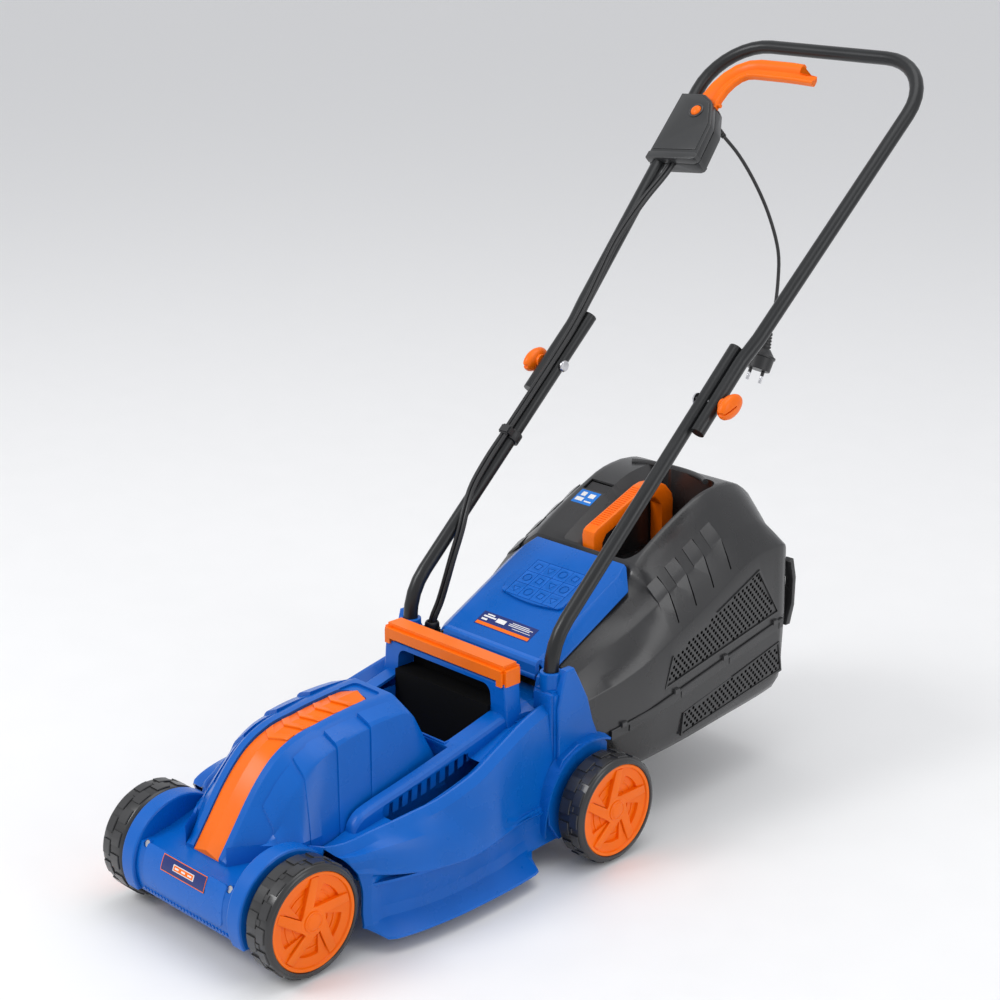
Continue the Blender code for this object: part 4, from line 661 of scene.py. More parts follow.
def platform(inset):
    """The raised deck round the hood, behind the nose."""
    rings = []
    for y in [0.098 + inset, 0.099 + inset, 0.101 + inset, 0.104 + inset, 0.11, 0.117,
        *spaced(0.13, 0.36, 14), 0.376, 0.388 - inset]:
        top = along(PLATFORM_Z, y - inset) - inset
        low = CEILING_Z + 0.02 - inset
        spread = 0.012 * max(0.0, (y - 0.355) / 0.033) ** 2
        half = [
            (0, top), (0.1015 - inset, top), (0.1055 - inset, top - 0.0008), (0.109 - inset, top - 0.0032),
            (0.1112 - inset + spread, top - 0.0068), (0.1122 - inset + spread, top - 0.011),
            (0.118 - inset + spread, min(low, top - 0.02)), (0, min(low, top - 0.02)),
        ]
        rings.append(mirrored_ring(y, half))
    return loft(rings)


def vent_cuts():
    """The sunk panel with its slots on each side of the raised platform."""
    cuts = []
    for side in (-1, 1):
        panel = [*arc((0.152, 0.1395), 0.009, 250, 110, 8), (0.276, 0.1725), (0.2885, 0.16),
            (0.293, 0.149)]
        cuts.append(side_plate(side, panel, 0.1107, 0.1322))
        for i in range(9):
            y = 0.1535 + i * 0.015
            top = 0.1462 + (y - 0.152) * 0.198
            slot = [(y, 0.128), (y + 0.0062, 0.128), (y + 0.0082, top + 0.0012), (y + 0.002, top)]
            cuts.append(side_plate(side, slot, 0.1, 0.13))
    return cuts


CARRY_LOW_Y, CARRY_HIGH_Y, GRIP_FOOT_Z = 0.3465, 0.373, 0.2375


def carry_arch():
    """The bridge that carries the grip."""
    outline = [
        (-0.1185, 0.17), (-0.1135, 0.197), (-0.111, 0.212), (-0.1098, 0.228), (-0.108, GRIP_FOOT_Z + 0.002),
        (0.108, GRIP_FOOT_Z + 0.002), (0.1098, 0.228), (0.111, 0.212), (0.1135, 0.197), (0.1185, 0.17),
    ]
    return plate_mesh(outline, "XZ", CARRY_LOW_Y, CARRY_HIGH_Y, bevel=0.0022)


def carry_opening():
    """The hand's room under the grip."""
    right = [(0.0855, 0.206), *arc((0.0715, 0.2195), 0.013, 0, 90, 8)]
    outline = right + [(-x, z) for x, z in reversed(right)]
    return plate_mesh(outline, "XZ", CARRY_LOW_Y - 0.02, CARRY_HIGH_Y + 0.02)


def rear_tower(side):
    """The housing behind a tube socket that carries the flap's hinge and closes the side of the chute."""
    outline = [(0.398, 0.1), (0.398, 0.206), (0.4105, 0.252), (0.4255, 0.252), (0.435, 0.235),
        (0.45, 0.206), (0.46, 0.172), (0.469, 0.152), (0.476, 0.142), (0.476, 0.1)]
    return side_plate(side, outline, 0.14, 0.1522, bevel=0.0022)


def rear_arch(side):
    """The flared lip round the front and top of a rear wheel."""
    rings = []
    for a in spaced(203, 66, 30):
        c, s = cos(radians(a)), sin(radians(a))
        flare = 0.0095 * sin(pi * min(1.0, (203 - a) / 40) / 2)
        section = []
        for x, r in ((0.147, 0.0775), (0.1535 + flare * 0.5, 0.078), (0.1538 + flare, 0.079),
            (0.1538 + flare, 0.0818), (0.15, 0.0842), (0.147, 0.085)):
            section.append((side * x, WHEELBASE + r * c, AXLE_HEIGHT + r * s))
        rings.append(section)
    return loft(rings)


def side_wall(side):
    """The wall between the front of a rear wheel's arch and the deck, with the axle's slot."""
    outline = [(0.392, 0.034), (0.374, 0.06), (0.372, 0.085), (0.38, 0.11), (0.398, 0.14), (0.425, 0.152),
        (0.47, 0.148), (0.478, 0.139), (0.478, 0.04), (0.462, 0.04)]
    return side_plate(side, outline, 0.15, 0.16, bevel=0.001)


def height_bracket(side, low_x, high_x, y, top_z):
    """The plate that an axle's slot is cut in."""
    return side_plate(side, [(y - 0.014, 0.019), (y + 0.014, 0.019), (y + 0.014, top_z), (y - 0.014, top_z)],
        low_x, high_x)


def axle_slot(y):
    """The slot that an axle slides in when the height is set."""
    half = AXLE_RADIUS + 0.0005
    low = AXLE_HEIGHT - HEIGHT_TRAVEL
    return plate_mesh([*arc((y, AXLE_HEIGHT), half, 0, 180, 12), *arc((y, low), half, 180, 360, 12)], "YZ",
        -0.17, 0.17)


def axle_way(y):
    """The room under the deck along an axle's way."""
    half = AXLE_RADIUS + 0.0045
    return plate_mesh([*arc((y, AXLE_HEIGHT), half, 0, 180, 12), (y - half, -0.02), (y + half, -0.02)], "YZ",
        -0.14, 0.14)


SCREW_X, SCREW_Y, SCREW_Z = 0.0785, -0.0575, 0.103
SCREW_DIRECTION = Vector((0, 0.867, -0.4983))


def drum_panel():
    """The raised panel on the nose's front, following its curve, with rounded lower corners."""
    rings = []
    for a, x in ((147.5, 0.07), (148.5, 0.0735), (150.5, 0.0752), (160, 0.0757), (175, 0.0757),
        (186, 0.0752), (190, 0.073), (192, 0.069), (193, 0.064)):
        r = NOSE_RADIUS
        ring = []
        for xx, rr in ((x, r - 0.002), (x, r + 0.0003), (x - 0.0009, r + 0.0011), (-x + 0.0009, r + 0.0011),
            (-x, r + 0.0003), (-x, r - 0.002)):
            ring.append((xx, rr * cos(radians(a)), AXLE_HEIGHT + rr * sin(radians(a))))
        rings.append(ring)
    return loft(rings)


def nose_trim():
    """Small ribs along the nose's lower edge."""
    parts = []
    for i in range(26):
        x = -0.078 + i * 0.00624
        a = radians(200)
        centre = Vector((x, NOSE_RADIUS * cos(a), AXLE_HEIGHT + NOSE_RADIUS * sin(a)))
        rib = box_mesh((-0.0016, -0.0012, -0.0024), (0.0016, 0.0012, 0.0024), bevel=0.0005, segments=1)
        rib.transform(Matrix.Translation(centre) @ Matrix.Rotation(radians(20), 4, "X"))
        parts.append((rib, BLUE))
    return parts


def make_deck():
    """The deck's shell with nose, platform, arch, tube sockets, arches and brackets."""
    body = deck_solid(0)
    nose = plate_mesh(nose_outline(NOSE_RADIUS, 0.045, NOSE_BOTTOM_Z), "YZ", -0.095, 0.095)
    steps = [cut(wheel_well(-1)), cut(wheel_well(1)), join(nose), join(cheek(-1, 0)), join(cheek(1, 0))]
    steps += [cut(valley()), join(platform(0))]
    steps += [cut(m) for m in (deck_solid(WALL), platform(WALL), nose_cavity(), cheek(-1, WALL),
            cheek(1, WALL))]
    ceiling_edge = [(along(EDGE_X, y) - 0.004, y) for y in spaced(0.085, 0.3, 14)] + [(0.1535, 0.362)]
    steps += [join(plate_mesh(ceiling_edge + [(-x, y) for x, y in reversed(ceiling_edge)], "XY",
                CEILING_Z - 0.0005, CEILING_Z + WALL)),
        join(plate_mesh([(-0.1505, CEILING_Z + 0.001), (-0.126, 0.19), (0.126, 0.19),
                (0.1505, CEILING_Z + 0.001)], "XZ", 0.3585, 0.3615)),
        join(box_mesh((-0.088, 0.265, 0.119), (0.088, 0.3455, 0.182))), join(carry_arch()),
        join(box_mesh((-0.103, 0.4235, 0.119), (0.103, 0.4525, 0.191)))]
    for side in (-1, 1):
        steps.append(join(rod_mesh((side * LOWER_TUBE_X, LOWER_TUBE_Y, 0.119), (0, 0, 1), 0.07, 0.0152, 40,
                    bevel=0.001)))
        steps.append(join(rod_mesh((side * LOWER_TUBE_X, LOWER_TUBE_Y, 0.18), (0, 0, 1), 0.0665, 0.0142, 40,
                    bevel=0.0012)))
        steps.append(join(side_box(side, 0.1115, 0.1475, (0.391, 0.1), (0.4205, 0.226), 0.004, 3)))
        steps.append(join(rear_tower(side)))
        steps.append(join(side_wall(side)))
        steps.append(join(rear_arch(side)))
        y, z = FLAP_ROD
        lug = [(y - 0.018, 0.18), (y - 0.0065, z), *arc((y, z), 0.0065, 150, 0, 10), (y - 0.002, 0.18)]
        steps.append(join(side_plate(side, lug, 0.0925, 0.1005)))
        steps.append(join(height_bracket(side, 0.153, 0.16, WHEELBASE, 0.1)))
        start = Vector((side * SCREW_X, SCREW_Y, SCREW_Z)) + SCREW_DIRECTION * 0.001
        steps.append(join(rod_mesh(start, SCREW_DIRECTION, 0.013, 0.0055, 20)))
    steps.append(join(box_mesh((-0.134, 0.42, 0.196), (-0.109, 0.4525, 0.205), bevel=0.001)))
    steps.append(cut(carry_opening()))
    steps.append(cut(box_mesh((-0.085, 0.268, 0.122), (0.085, 0.3425, 0.3))))
    steps.append(cut(box_mesh((-0.0955, 0.0503, CEILING_Z + WALL + 0.02), (0.0955, 0.2637, 0.3))))
    steps.append(cut(box_mesh((-0.1, 0.4, 0.122), (0.1, 0.47, 0.188))))
    steps += [cut(m) for m in vent_cuts()]
    for side in (-1, 1):
        steps.append(cut(rod_mesh((side * LOWER_TUBE_X, LOWER_TUBE_Y, 0.1366), (0, 0, 1), 0.16,
                    TUBE_RADIUS + 0.0004, 40)))
        start = Vector((side * SCREW_X, SCREW_Y, SCREW_Z)) - SCREW_DIRECTION * 0.012
        steps.append(cut(rod_mesh(start, SCREW_DIRECTION, 0.016, 0.0048, 28)))
        steps.append(cut(rod_mesh(start, SCREW_DIRECTION, 0.045, 0.0022, 16)))
    steps.append(cut(axle_way(0.0)))
    for side in (-1, 1):
        steps.append(join(height_bracket(side, 0.102, 0.1085, 0.0, 0.1395)))
    steps += [cut(axle_slot(0.0)), cut(axle_slot(WHEELBASE))]
    steps.append(cut(rod_mesh((-0.14, *FLAP_ROD), (1, 0, 0), 0.28, 0.0029, 16)))
    steps.append(cut(rod_mesh((0, MOTOR_Y, CEILING_Z - 0.01), (0, 0, 1), 0.03, 0.017, 32)))
    steps.append(cut(rod_mesh((GLAND[0], GLAND[1], 0.18), (0, 0, 1), 0.05, 0.0082, 24)))
    shell = boolean_steps(body, steps)
    # A thin black sheet behind the grip and a black block in the well below it: painted shade where the hand's room
    # lies in shadow.
    painted_shade_fill = [
        (box_mesh((-0.085, 0.3732, 0.201), (0.085, 0.3745, 0.2345)), PAINTED_SHADE),
        (box_mesh((-0.0848, 0.341, 0.1222), (0.0848, 0.374, 0.2066)), PAINTED_SHADE),
    ]
    parts = [(shell, BLUE), (drum_panel(), BLUE), *nose_trim(), *painted_shade_fill, *nose_label()]
    piece("deck_body", parts, BODY_OF["deck_shell"], ["deck_shell"], "blue_plastic", smooth=16)


def nose_label():
    """The nose's plate: a thin orange frame round a plain badge of the maker's own invention."""
    r = NOSE_RADIUS + 0.0012

    def on_drum(x, a, lift):
        return (x, (r + lift) * cos(radians(a)), AXLE_HEIGHT + (r + lift) * sin(radians(a)))

    def patch(x0, x1, a0, a1, lift, thick, mat):
        rings = []
        for a in spaced(a0, a1, 6):
            rings.append([on_drum(x0, a, lift - thick), on_drum(x1, a, lift - thick), on_drum(x1, a, lift),
                    on_drum(x0, a, lift)])
        return (loft(rings), mat)

    low_a, high_a = 166.0, 149.5
    parts = [patch(-0.041, 0.041, low_a, high_a, 0.0002, 0.0012, NAVY)]
    for x0, x1, a0, a1 in ((-0.041, 0.041, low_a, low_a - 0.7), (-0.041, 0.041, high_a + 0.7, high_a),
        (-0.041, -0.0402, low_a, high_a), (0.0402, 0.041, low_a, high_a)):
        parts.append(patch(x0, x1, a0, a1, 0.0004, 0.001, ORANGE))
    parts.append(patch(-0.0195, 0.0195, 161.0, 154.5, 0.0004, 0.001, PALE))
    parts.append(patch(-0.018, 0.018, 160.2, 155.3, 0.0006, 0.001, ORANGE))
    for x in (-0.012, 0.0, 0.012):
        parts.append(patch(x - 0.0035, x + 0.0035, 158.6, 156.9, 0.0008, 0.001, PALE))
    return parts


def make_carry_grip():
    """The grip's cap on the arch."""
    low = (-0.1106, 0.343, GRIP_FOOT_Z + 0.0004)
    cap = box_mesh(low, (0.1106, 0.3765, 0.2625), bevel=0.0055, segments=4)
    ends = []
    for side in (-1, 1):
        ends.append(side_box(side, 0.093, 0.1108, (0.3432, 0.2315), (0.3763, 0.259), 0.0045, 4))
    room = box_mesh((-0.1088, CARRY_LOW_Y - 0.0006, 0.2), (0.1088, CARRY_HIGH_Y + 0.0006, 0.2405),
        bevel=0.002)
    piece("carry_grip_cap", [(carve(cap, ends, [room]), ORANGE)], BODY_OF["carry_grip"], ["carry_grip"],
        "orange_plastic")


def moved(mesh, matrix):
    """A copy of the mesh, moved or mirrored."""
    copy = mesh.copy()
    copy.transform(matrix)
    if matrix.determinant() < 0:
        copy.flip_normals()
    return copy


def soften(mesh, width, angle=25, segments=2):
    """Rounds the mesh's sharp edges."""
    bm = bmesh.new()
    bm.from_mesh(mesh)
    bmesh.ops.dissolve_limit(bm, angle_limit=radians(1), verts=bm.verts, edges=bm.edges)
    sharp = [e for e in bm.edges if len(e.link_faces) == 2 and e.calc_face_angle() > radians(angle)]
    bmesh.ops.bevel(bm, geom=sharp, offset=width, segments=segments, profile=0.5, affect="EDGES",
        clamp_overlap=True)
    bm.to_mesh(mesh)
    bm.free()
    return mesh


# ---------------------------------------------------------------- wheels
WHEEL_X = {"front": 0.1585, "rear": 0.2076}
LUG_COUNT = 15


def polar_block(low_angle, high_angle, base, top, low, high, taper=0.0008, steps=3):
    """A block on a wheel: angles in degrees, then its two radii, then its two places along the axle."""
    rings = []
    for i in range(steps + 1):
        a = radians(low_angle + (high_angle - low_angle) * i / steps)
        section = ((base, low), (top - taper, low), (top, low + taper), (top, high - taper),
            (top - taper, high), (base, high))
        rings.append([(r * cos(a), r * sin(a), h) for r, h in section])
    return loft(rings)


def tyre_mesh():
    """A tyre on the Z axis: lug rows on a plain band."""
    profile = [(0.06, -0.0014), (0.0606, -0.0004), (0.0618, 0.0), (0.063, -0.0004), (0.0637, -0.0012),
        (0.0643, -0.0013), (0.066, -0.002), (0.0675, -0.0035), (0.0683, -0.0055), (0.0683, -0.0362),
        (0.0675, -0.0385), (0.0655, -0.0405), (0.0625, -0.0414), (0.0606, -0.0412), (0.06, -0.04)]
    base = lathe(profile, (0, 0, 0), (0, 0, 1), 96)
    pitch = 360 / LUG_COUNT
    rows = ((0.0, 0.62, -0.019, -0.0058), (0.5, 0.62, -0.036, -0.0205))
    steps = []
    for start, share, low, high in rows:
        for i in range(LUG_COUNT):
            a = pitch * (i + start)
            steps.append(join(polar_block(a, a + pitch * share, 0.067, WHEEL_RADIUS, low, high)))
    for i in range(LUG_COUNT):
        a = pitch * (i + 0.72)
        steps.append(join(polar_block(a, a + pitch * 0.22, 0.067, 0.0693, -0.024, -0.015)))
    return boolean_steps(base, steps)


SPOKE = [(0.004, 0.0165), (0.0535, 0.008), (0.054, -0.003), (0.015, 0.0015), (0.004, -0.006)]
SPOKE_FACET = [(0.016, 0.0008), (0.0505, -0.0034), (0.047, -0.016)]


def rim_mesh():
    """A five-spoke rim on the Z axis."""
    profile = [
        (0.0053, -0.0052), (0.0165, -0.0052), (0.0168, -0.0082), (0.024, -0.0086), (0.0244, -0.0076),
        (0.0258, -0.0076), (0.0262, -0.0088), (0.034, -0.0094), (0.0344, -0.0084), (0.0358, -0.0084),
        (0.0362, -0.0096), (0.043, -0.01), (0.044, -0.0062), (0.0545, -0.0044), (0.0556, -0.002),
        (0.059, -0.0014), (0.0597, -0.002), (0.0597, -0.04), (0.056, -0.04), (0.054, -0.013),
        (0.018, -0.012), (0.014, -0.0405), (0.0053, -0.0405),
    ]
    steps = []
    for i in range(5):
        turn = Matrix.Rotation(radians(82 + 72 * i), 4, "Z")
        spoke = moved(plate_mesh(SPOKE, "XY", -0.011, -0.003, bevel=0.0006), turn)
        facet = moved(plate_mesh(SPOKE_FACET, "XY", -0.011, -0.006, bevel=0.0004), turn)
        steps += [join(spoke), join(facet)]
    hub = lathe([(0.0053, -0.01), (0.0178, -0.01), (0.0178, -0.0034), (0.0172, -0.0028),
            (0.0053, -0.0028)], (0, 0, 0), (0, 0, 1), 64)
    return boolean_steps(lathe(profile, (0, 0, 0), (0, 0, 1), 96), [*steps, join(hub)])


def hub_mesh():
    """A wheel's centre cap."""
    profile = [(0, -0.0003), (0.007, -0.0005), (0.0094, -0.0011), (0.0102, -0.0018), (0.011, -0.0018),
        (0.0118, -0.0012), (0.0128, -0.0016), (0.013, -0.0024), (0.013, -0.0034), (0, -0.0034)]
    return lathe(profile, (0, 0, 0), (0, 0, 1), 64)


def make_wheels():
    tyre, rim, hub = tyre_mesh(), rim_mesh(), hub_mesh()
    for end, y in (("front", 0.0), ("rear", WHEELBASE)):
        for hand, side in (("left", 1), ("right", -1)):
            name = f"{end}_{hand}"
            place = Matrix.Translation((side * WHEEL_X[end], y, WHEEL_RADIUS)) @ facing((side, 0, 0))
            body = "wheel_" + name
            piece("tyre_tread_" + name, [(moved(tyre, place), TYRE)], body, ["tyre_" + name], "tyre", 28)
            piece("rim_star_" + name, [(moved(rim, place), ORANGE)], body, ["rim_" + name], "orange_plastic",
                25)
            piece("rim_centre_" + name, [(moved(hub, place), ORANGE)], body, ["hub_cap_" + name],
                "orange_plastic", 30)


# ---------------------------------------------------------------- hood
HOOD_TOP = (
    (-0.03, 0.1125), (-0.027, 0.1165), (-0.008, 0.1436), (0.0153, 0.1764), (0.034, 0.198), (0.051, 0.213),
    (0.07, 0.2235), (0.095, 0.2316), (0.12, 0.2347), (0.145, 0.238), (0.205, 0.2424), (0.23, 0.243),
    (0.248, 0.205), (0.2615, 0.172),
)
SHOULDER_X = ((-0.03, 0.0375), (-0.008, 0.05), (0.0153, 0.063), (0.046, 0.066), (0.23, 0.067),
    (0.2615, 0.076))
SHOULDER_Z = (
    (-0.03, 0.1095), (-0.008, 0.12), (0.0153, 0.1395), (0.034, 0.158), (0.051, 0.177), (0.0653, 0.192),
    (0.095, 0.2105), (0.1145, 0.2168), (0.1659, 0.2261), (0.215, 0.2285), (0.23, 0.2255), (0.248, 0.19),
    (0.2615, 0.16),
)
FOOT_X = ((-0.03, 0.039), (-0.008, 0.056), (0.0153, 0.074), (0.046, 0.087), (0.0504, 0.0925),
    (0.27, 0.0945))
RIM_DROP = 0.002
SCALE_STARTS = (0.019, 0.0653, 0.1145, 0.1659)
SCALE_RISE = 0.0044
STEP_LEAN = -0.25
TAB_INNER_X = (0.0465, 0.046, 0.044, 0.044)
STRIPE_HALF_WIDTH, STRIPE_DEPTH, STRIPE_REAR_Y = 0.0232, 0.0065, 0.2045


def scale_rise(s):
    """How far the hood's skin stands out at station s: each scale starts proud and sinks towards the next."""
    for start, end in zip(SCALE_STARTS, (*SCALE_STARTS[1:], 0.232)):
        if start + 1e-6 < s < end:
            return SCALE_RISE * (1 - (s - start) / (end - start)) ** 0.8
    return 0.0


def tab_inner(s):
    """Where a scale's flat top begins, measured from the mid-plane."""
    return [x for start, x in zip(SCALE_STARTS, TAB_INNER_X) if s > start - 0.03][-1] if s > SCALE_STARTS[
        0] - 0.03 else 0.0465


def hood_foot(s):
    """The height of the hood's lower edge at station s."""
    return between(VALLEY, max(s, -0.028)) - 0.003 if s < 0.0506 else 0.112


def hood_ring(s, inset=0.0):
    """A section of the hood that leans rearward as it goes down the side."""
    top = along(HOOD_TOP, s) - RIM_DROP
    if inset:
        top -= 0.0085
    rise = 0.0 if inset else scale_rise(s)
    wide, shoulder = along(SHOULDER_X, s), along(SHOULDER_Z, s)
    foot_x, foot_z = along(FOOT_X, s), 0.08 if inset else hood_foot(s)
    waist_z = max(hood_foot(s) + 0.004, 0.131) - (0.001 if s < 0.05 else 0)
    crown = min(0.035, wide * 0.75)
    fade = min(1, max(0, (s + 0.02) / 0.04)) * min(1, max(0, (0.232 - s) / 0.04))
    inner = min(tab_inner(s), wide - 0.008)

    def slope_z(x):
        return top - 0.0008 + (shoulder - top + 0.0008) * (x - crown) / (wide - crown)

    half = [(0, top, 0), (crown * 0.8, top - 0.0001, 0), (crown - 0.0015, top - 0.0003, 0),
        (crown + 0.0015, slope_z(crown + 0.0015), 0)]
    if inset:
        half = [(0, top, 0), (crown, top - 0.001, 0), (wide - inset * 0.8, shoulder - inset, 0)]
    else:
        half.append((inner - 0.0006, slope_z(inner - 0.0006), 0))
        half.append((inner, slope_z(inner) + rise, 0))
        half.append((wide - 0.003, slope_z(wide - 0.003) + rise, 0))
        half.append((wide + rise * 0.25, shoulder + rise * 0.55 - 0.0008, 0))
        half.append((wide + 0.0012 + rise * 0.45, shoulder - 0.0042, 1))
        middle_x, middle_z = (wide + foot_x) / 2, (shoulder + waist_z) / 2
        half.append((middle_x + rise * 0.4, middle_z, 1))
    half.append((foot_x - inset + rise * 0.3, waist_z, 1))
    half.append((foot_x - inset + rise * 0.25, foot_z, 1))
    half.append((0, foot_z, 0))
    ring = []
    for x, z, leans in half:
        drop = max(0.0, shoulder - max(z, waist_z)) if leans else 0.0
        ring.append((x, s + STEP_LEAN * drop * fade, z))
    return ring + [(-x, y, z) for x, y, z in reversed(ring) if x > 1e-6]


def stripe_mesh(margin, rise):
    """The band along the hood's crown, or the trench it lies in when it has a rise."""
    rings = []
    rear = STRIPE_REAR_Y + margin
    stations = [-0.04, -0.0298] if rise else [-0.0298]
    stations += [-0.027 + (rear - 0.014 + 0.027) * i / 40 for i in range(41)] + [rear - 0.008, rear - 0.0035,
        rear - 0.001, rear]
    for y in stations:
        top = along(HOOD_TOP, max(y, -0.03))
        back = max(0.0, (y - (rear - 0.014)) / 0.014)
        half_width = STRIPE_HALF_WIDTH + margin - 0.012 * (1 - sqrt(max(0.0, 1 - back**2)))
        floor = top - STRIPE_DEPTH - margin
        if rise:
            half = [(0, top + rise), (half_width, top + rise), (half_width, floor), (0, floor)]
        else:
            half = [(0, top), (half_width - 0.0008, top - 0.0056), (half_width, top - 0.0062),
                (half_width, floor), (0, floor)]
        rings.append(mirrored_ring(y, half))
    return loft(rings)


def chevron_mesh(y):
    """One raised V-shaped louvre, its point to the front and its high side to the rear."""
    slope = (along(HOOD_TOP, y + 0.012) - along(HOOD_TOP, y)) / 0.012
    rings = []
    for x in (-0.02, -0.016, 0, 0.016, 0.02):
        front = y + abs(x) * 0.62
        low = along(HOOD_TOP, front) - 0.0054 * abs(x) / 0.0232 - 0.0022
        end = 0.4 if abs(x) > 0.018 else 1.0
        section = [(0.0, 0.0), (0.0, 0.0022 + 0.0024 * end), (0.0014, 0.0022 + 0.003 * end),
            (0.011, 0.0022 + 0.011 * slope), (0.011, 0.011 * slope)]
        rings.append([(x, front + dy, low + dz) for dy, dz in section])
    return loft(rings)


def panel_line(side, low_s, high_s, low_x, high_x, radius=0.0009):
    """A fine groove round a rectangle on the hood's upper facet."""
    path = []
    corners = [(low_s, low_x), (low_s, high_x), (high_s, high_x), (high_s, low_x), (low_s, low_x)]
    for (s0, x0), (s1, x1) in zip(corners, corners[1:]):
        for i in range(6):
            s, x = s0 + (s1 - s0) * i / 6, x0 + (x1 - x0) * i / 6
            top, wide, shoulder = along(HOOD_TOP, s) - RIM_DROP, along(SHOULDER_X, s), along(SHOULDER_Z, s)
            z = top - 0.0008 + (shoulder - top + 0.0008) * (x - 0.035) / (wide - 0.035) + scale_rise(s)
            path.append((side * x, s, z + 0.0001))
    path.append(path[0])
    return tube_mesh(path[:-1], radius, 1)


def make_hood():
    """The hood's shell and its band with five louvres."""
    stations = set(spaced(-0.03, 0.0, 5) + spaced(0.0, 0.23, 58) + [0.235, 0.24, 0.248, 0.255, 0.2615])
    stations = [s for s in stations if all(abs(s - start) > 0.0012 for start in SCALE_STARTS)]
    for start in SCALE_STARTS:
        stations += [start, start + 0.0004]
    outer = loft([hood_ring(s) for s in sorted(stations)])
    hollow = loft([hood_ring(s, 0.003) for s in (*spaced(0.014, 0.245, 16), 0.2585)])
    behind = plate_mesh([*arc((-0.0165, 0.214), 0.008, 90, 180, 5), (-0.0245, 0.196), (0.0245, 0.196),
            *arc((0.0165, 0.214), 0.008, 0, 90, 5)], "XY", 0, 0.03)
    behind.transform(Matrix.Translation((0, 0, along(HOOD_TOP, 0.205) - RIM_DROP - 0.0026)))
    lines = []
    for side in (-1, 1):
        lines.append(panel_line(side, 0.0265, 0.048, 0.0475, 0.059))
        lines.append(panel_line(side, 0.1195, 0.145, 0.047, 0.06))
        lines.append(panel_line(side, 0.172, 0.208, 0.047, 0.061))
    shell = carve(outer, (), [hollow, stripe_mesh(0.0004, 0.03), behind])
    shell = boolean_steps(shell, [cut(line) for line in lines])
    piece("hood_shell", [(shell, BLUE)], "deck", ["motor_hood"], "blue_plastic", 20)
    stripe = stripe_mesh(0, 0)
    louvres = [chevron_mesh(y) for y in (0.066, 0.09, 0.114, 0.138, 0.162)]
    piece("hood_band", [(carve(stripe, louvres), ORANGE)], "deck", ["hood_stripe"], "orange_plastic", 12)


# ---------------------------------------------------------------- rear flap
FLAP_ORIGIN = Vector((0, 0.4447, 0.2494))
FLAP_SLOPE = 0.51


def flap_frame():
    """The flap's own frame: x across, y up its slope, z out of it."""
    run = Vector((0, 1, FLAP_SLOPE)).normalized()
    turn = Matrix((Vector((1, 0, 0)), run, Vector((1, 0, 0)).cross(run))).transposed().to_4x4()
    return Matrix.Translation(FLAP_ORIGIN) @ turn


FLAP = flap_frame()
FLAP_STRETCH = hypot(1, FLAP_SLOPE)


def on_flap(mesh):
    mesh.transform(FLAP)
    return mesh


def flap_along(y):
    return (y - FLAP_ORIGIN.y) * FLAP_STRETCH


def flap_half(y, width, drop_width, drop):
    """Half of a section of the flap."""
    top = FLAP_ORIGIN.z + FLAP_SLOPE * (y - FLAP_ORIGIN.y)
    return [
        (0, top), (width, top), (width + drop_width, top - drop), (width + drop_width, top - drop - 0.003),
        (width - 0.0005, top - 0.003), (0, top - 0.003),
    ]


def flap_marks():
    """A table of plain shapes, sunk in the raised tongue."""
    low, high = flap_along(0.5005), flap_along(0.5615)
    half = 0.0445
    cuts = []
    for i in range(4):
        t = low + (high - low) * i / 3
        cuts.append(box_mesh((-half, t - 0.0004, -0.0004), (half, t + 0.0004, 0.01)))
    for i in range(5):
        x = -half + 2 * half * i / 4
        cuts.append(box_mesh((x - 0.0004, low, -0.0004), (x + 0.0004, high, 0.01)))
    for row in range(3):
        for column in range(4):
            x, t = -half + half * (column + 0.5) / 2, low + (high - low) * (row + 0.5) / 3
            kind = (row * 4 + column) % 3
            sides = (3, 24, 4)[kind]
            outer = [(x + 0.0068 * cos(2 * pi * i / sides + 0.6), t + 0.0068 * sin(2 * pi * i / sides + 0.6))
                for i in range(sides)]
            inner = [(x + 0.0055 * cos(2 * pi * i / sides + 0.6), t + 0.0055 * sin(2 * pi * i / sides + 0.6))
                for i in range(sides)]
            cuts.append(plate_mesh(outer, "XY", -0.0004, 0.01, [inner]))
    return cuts


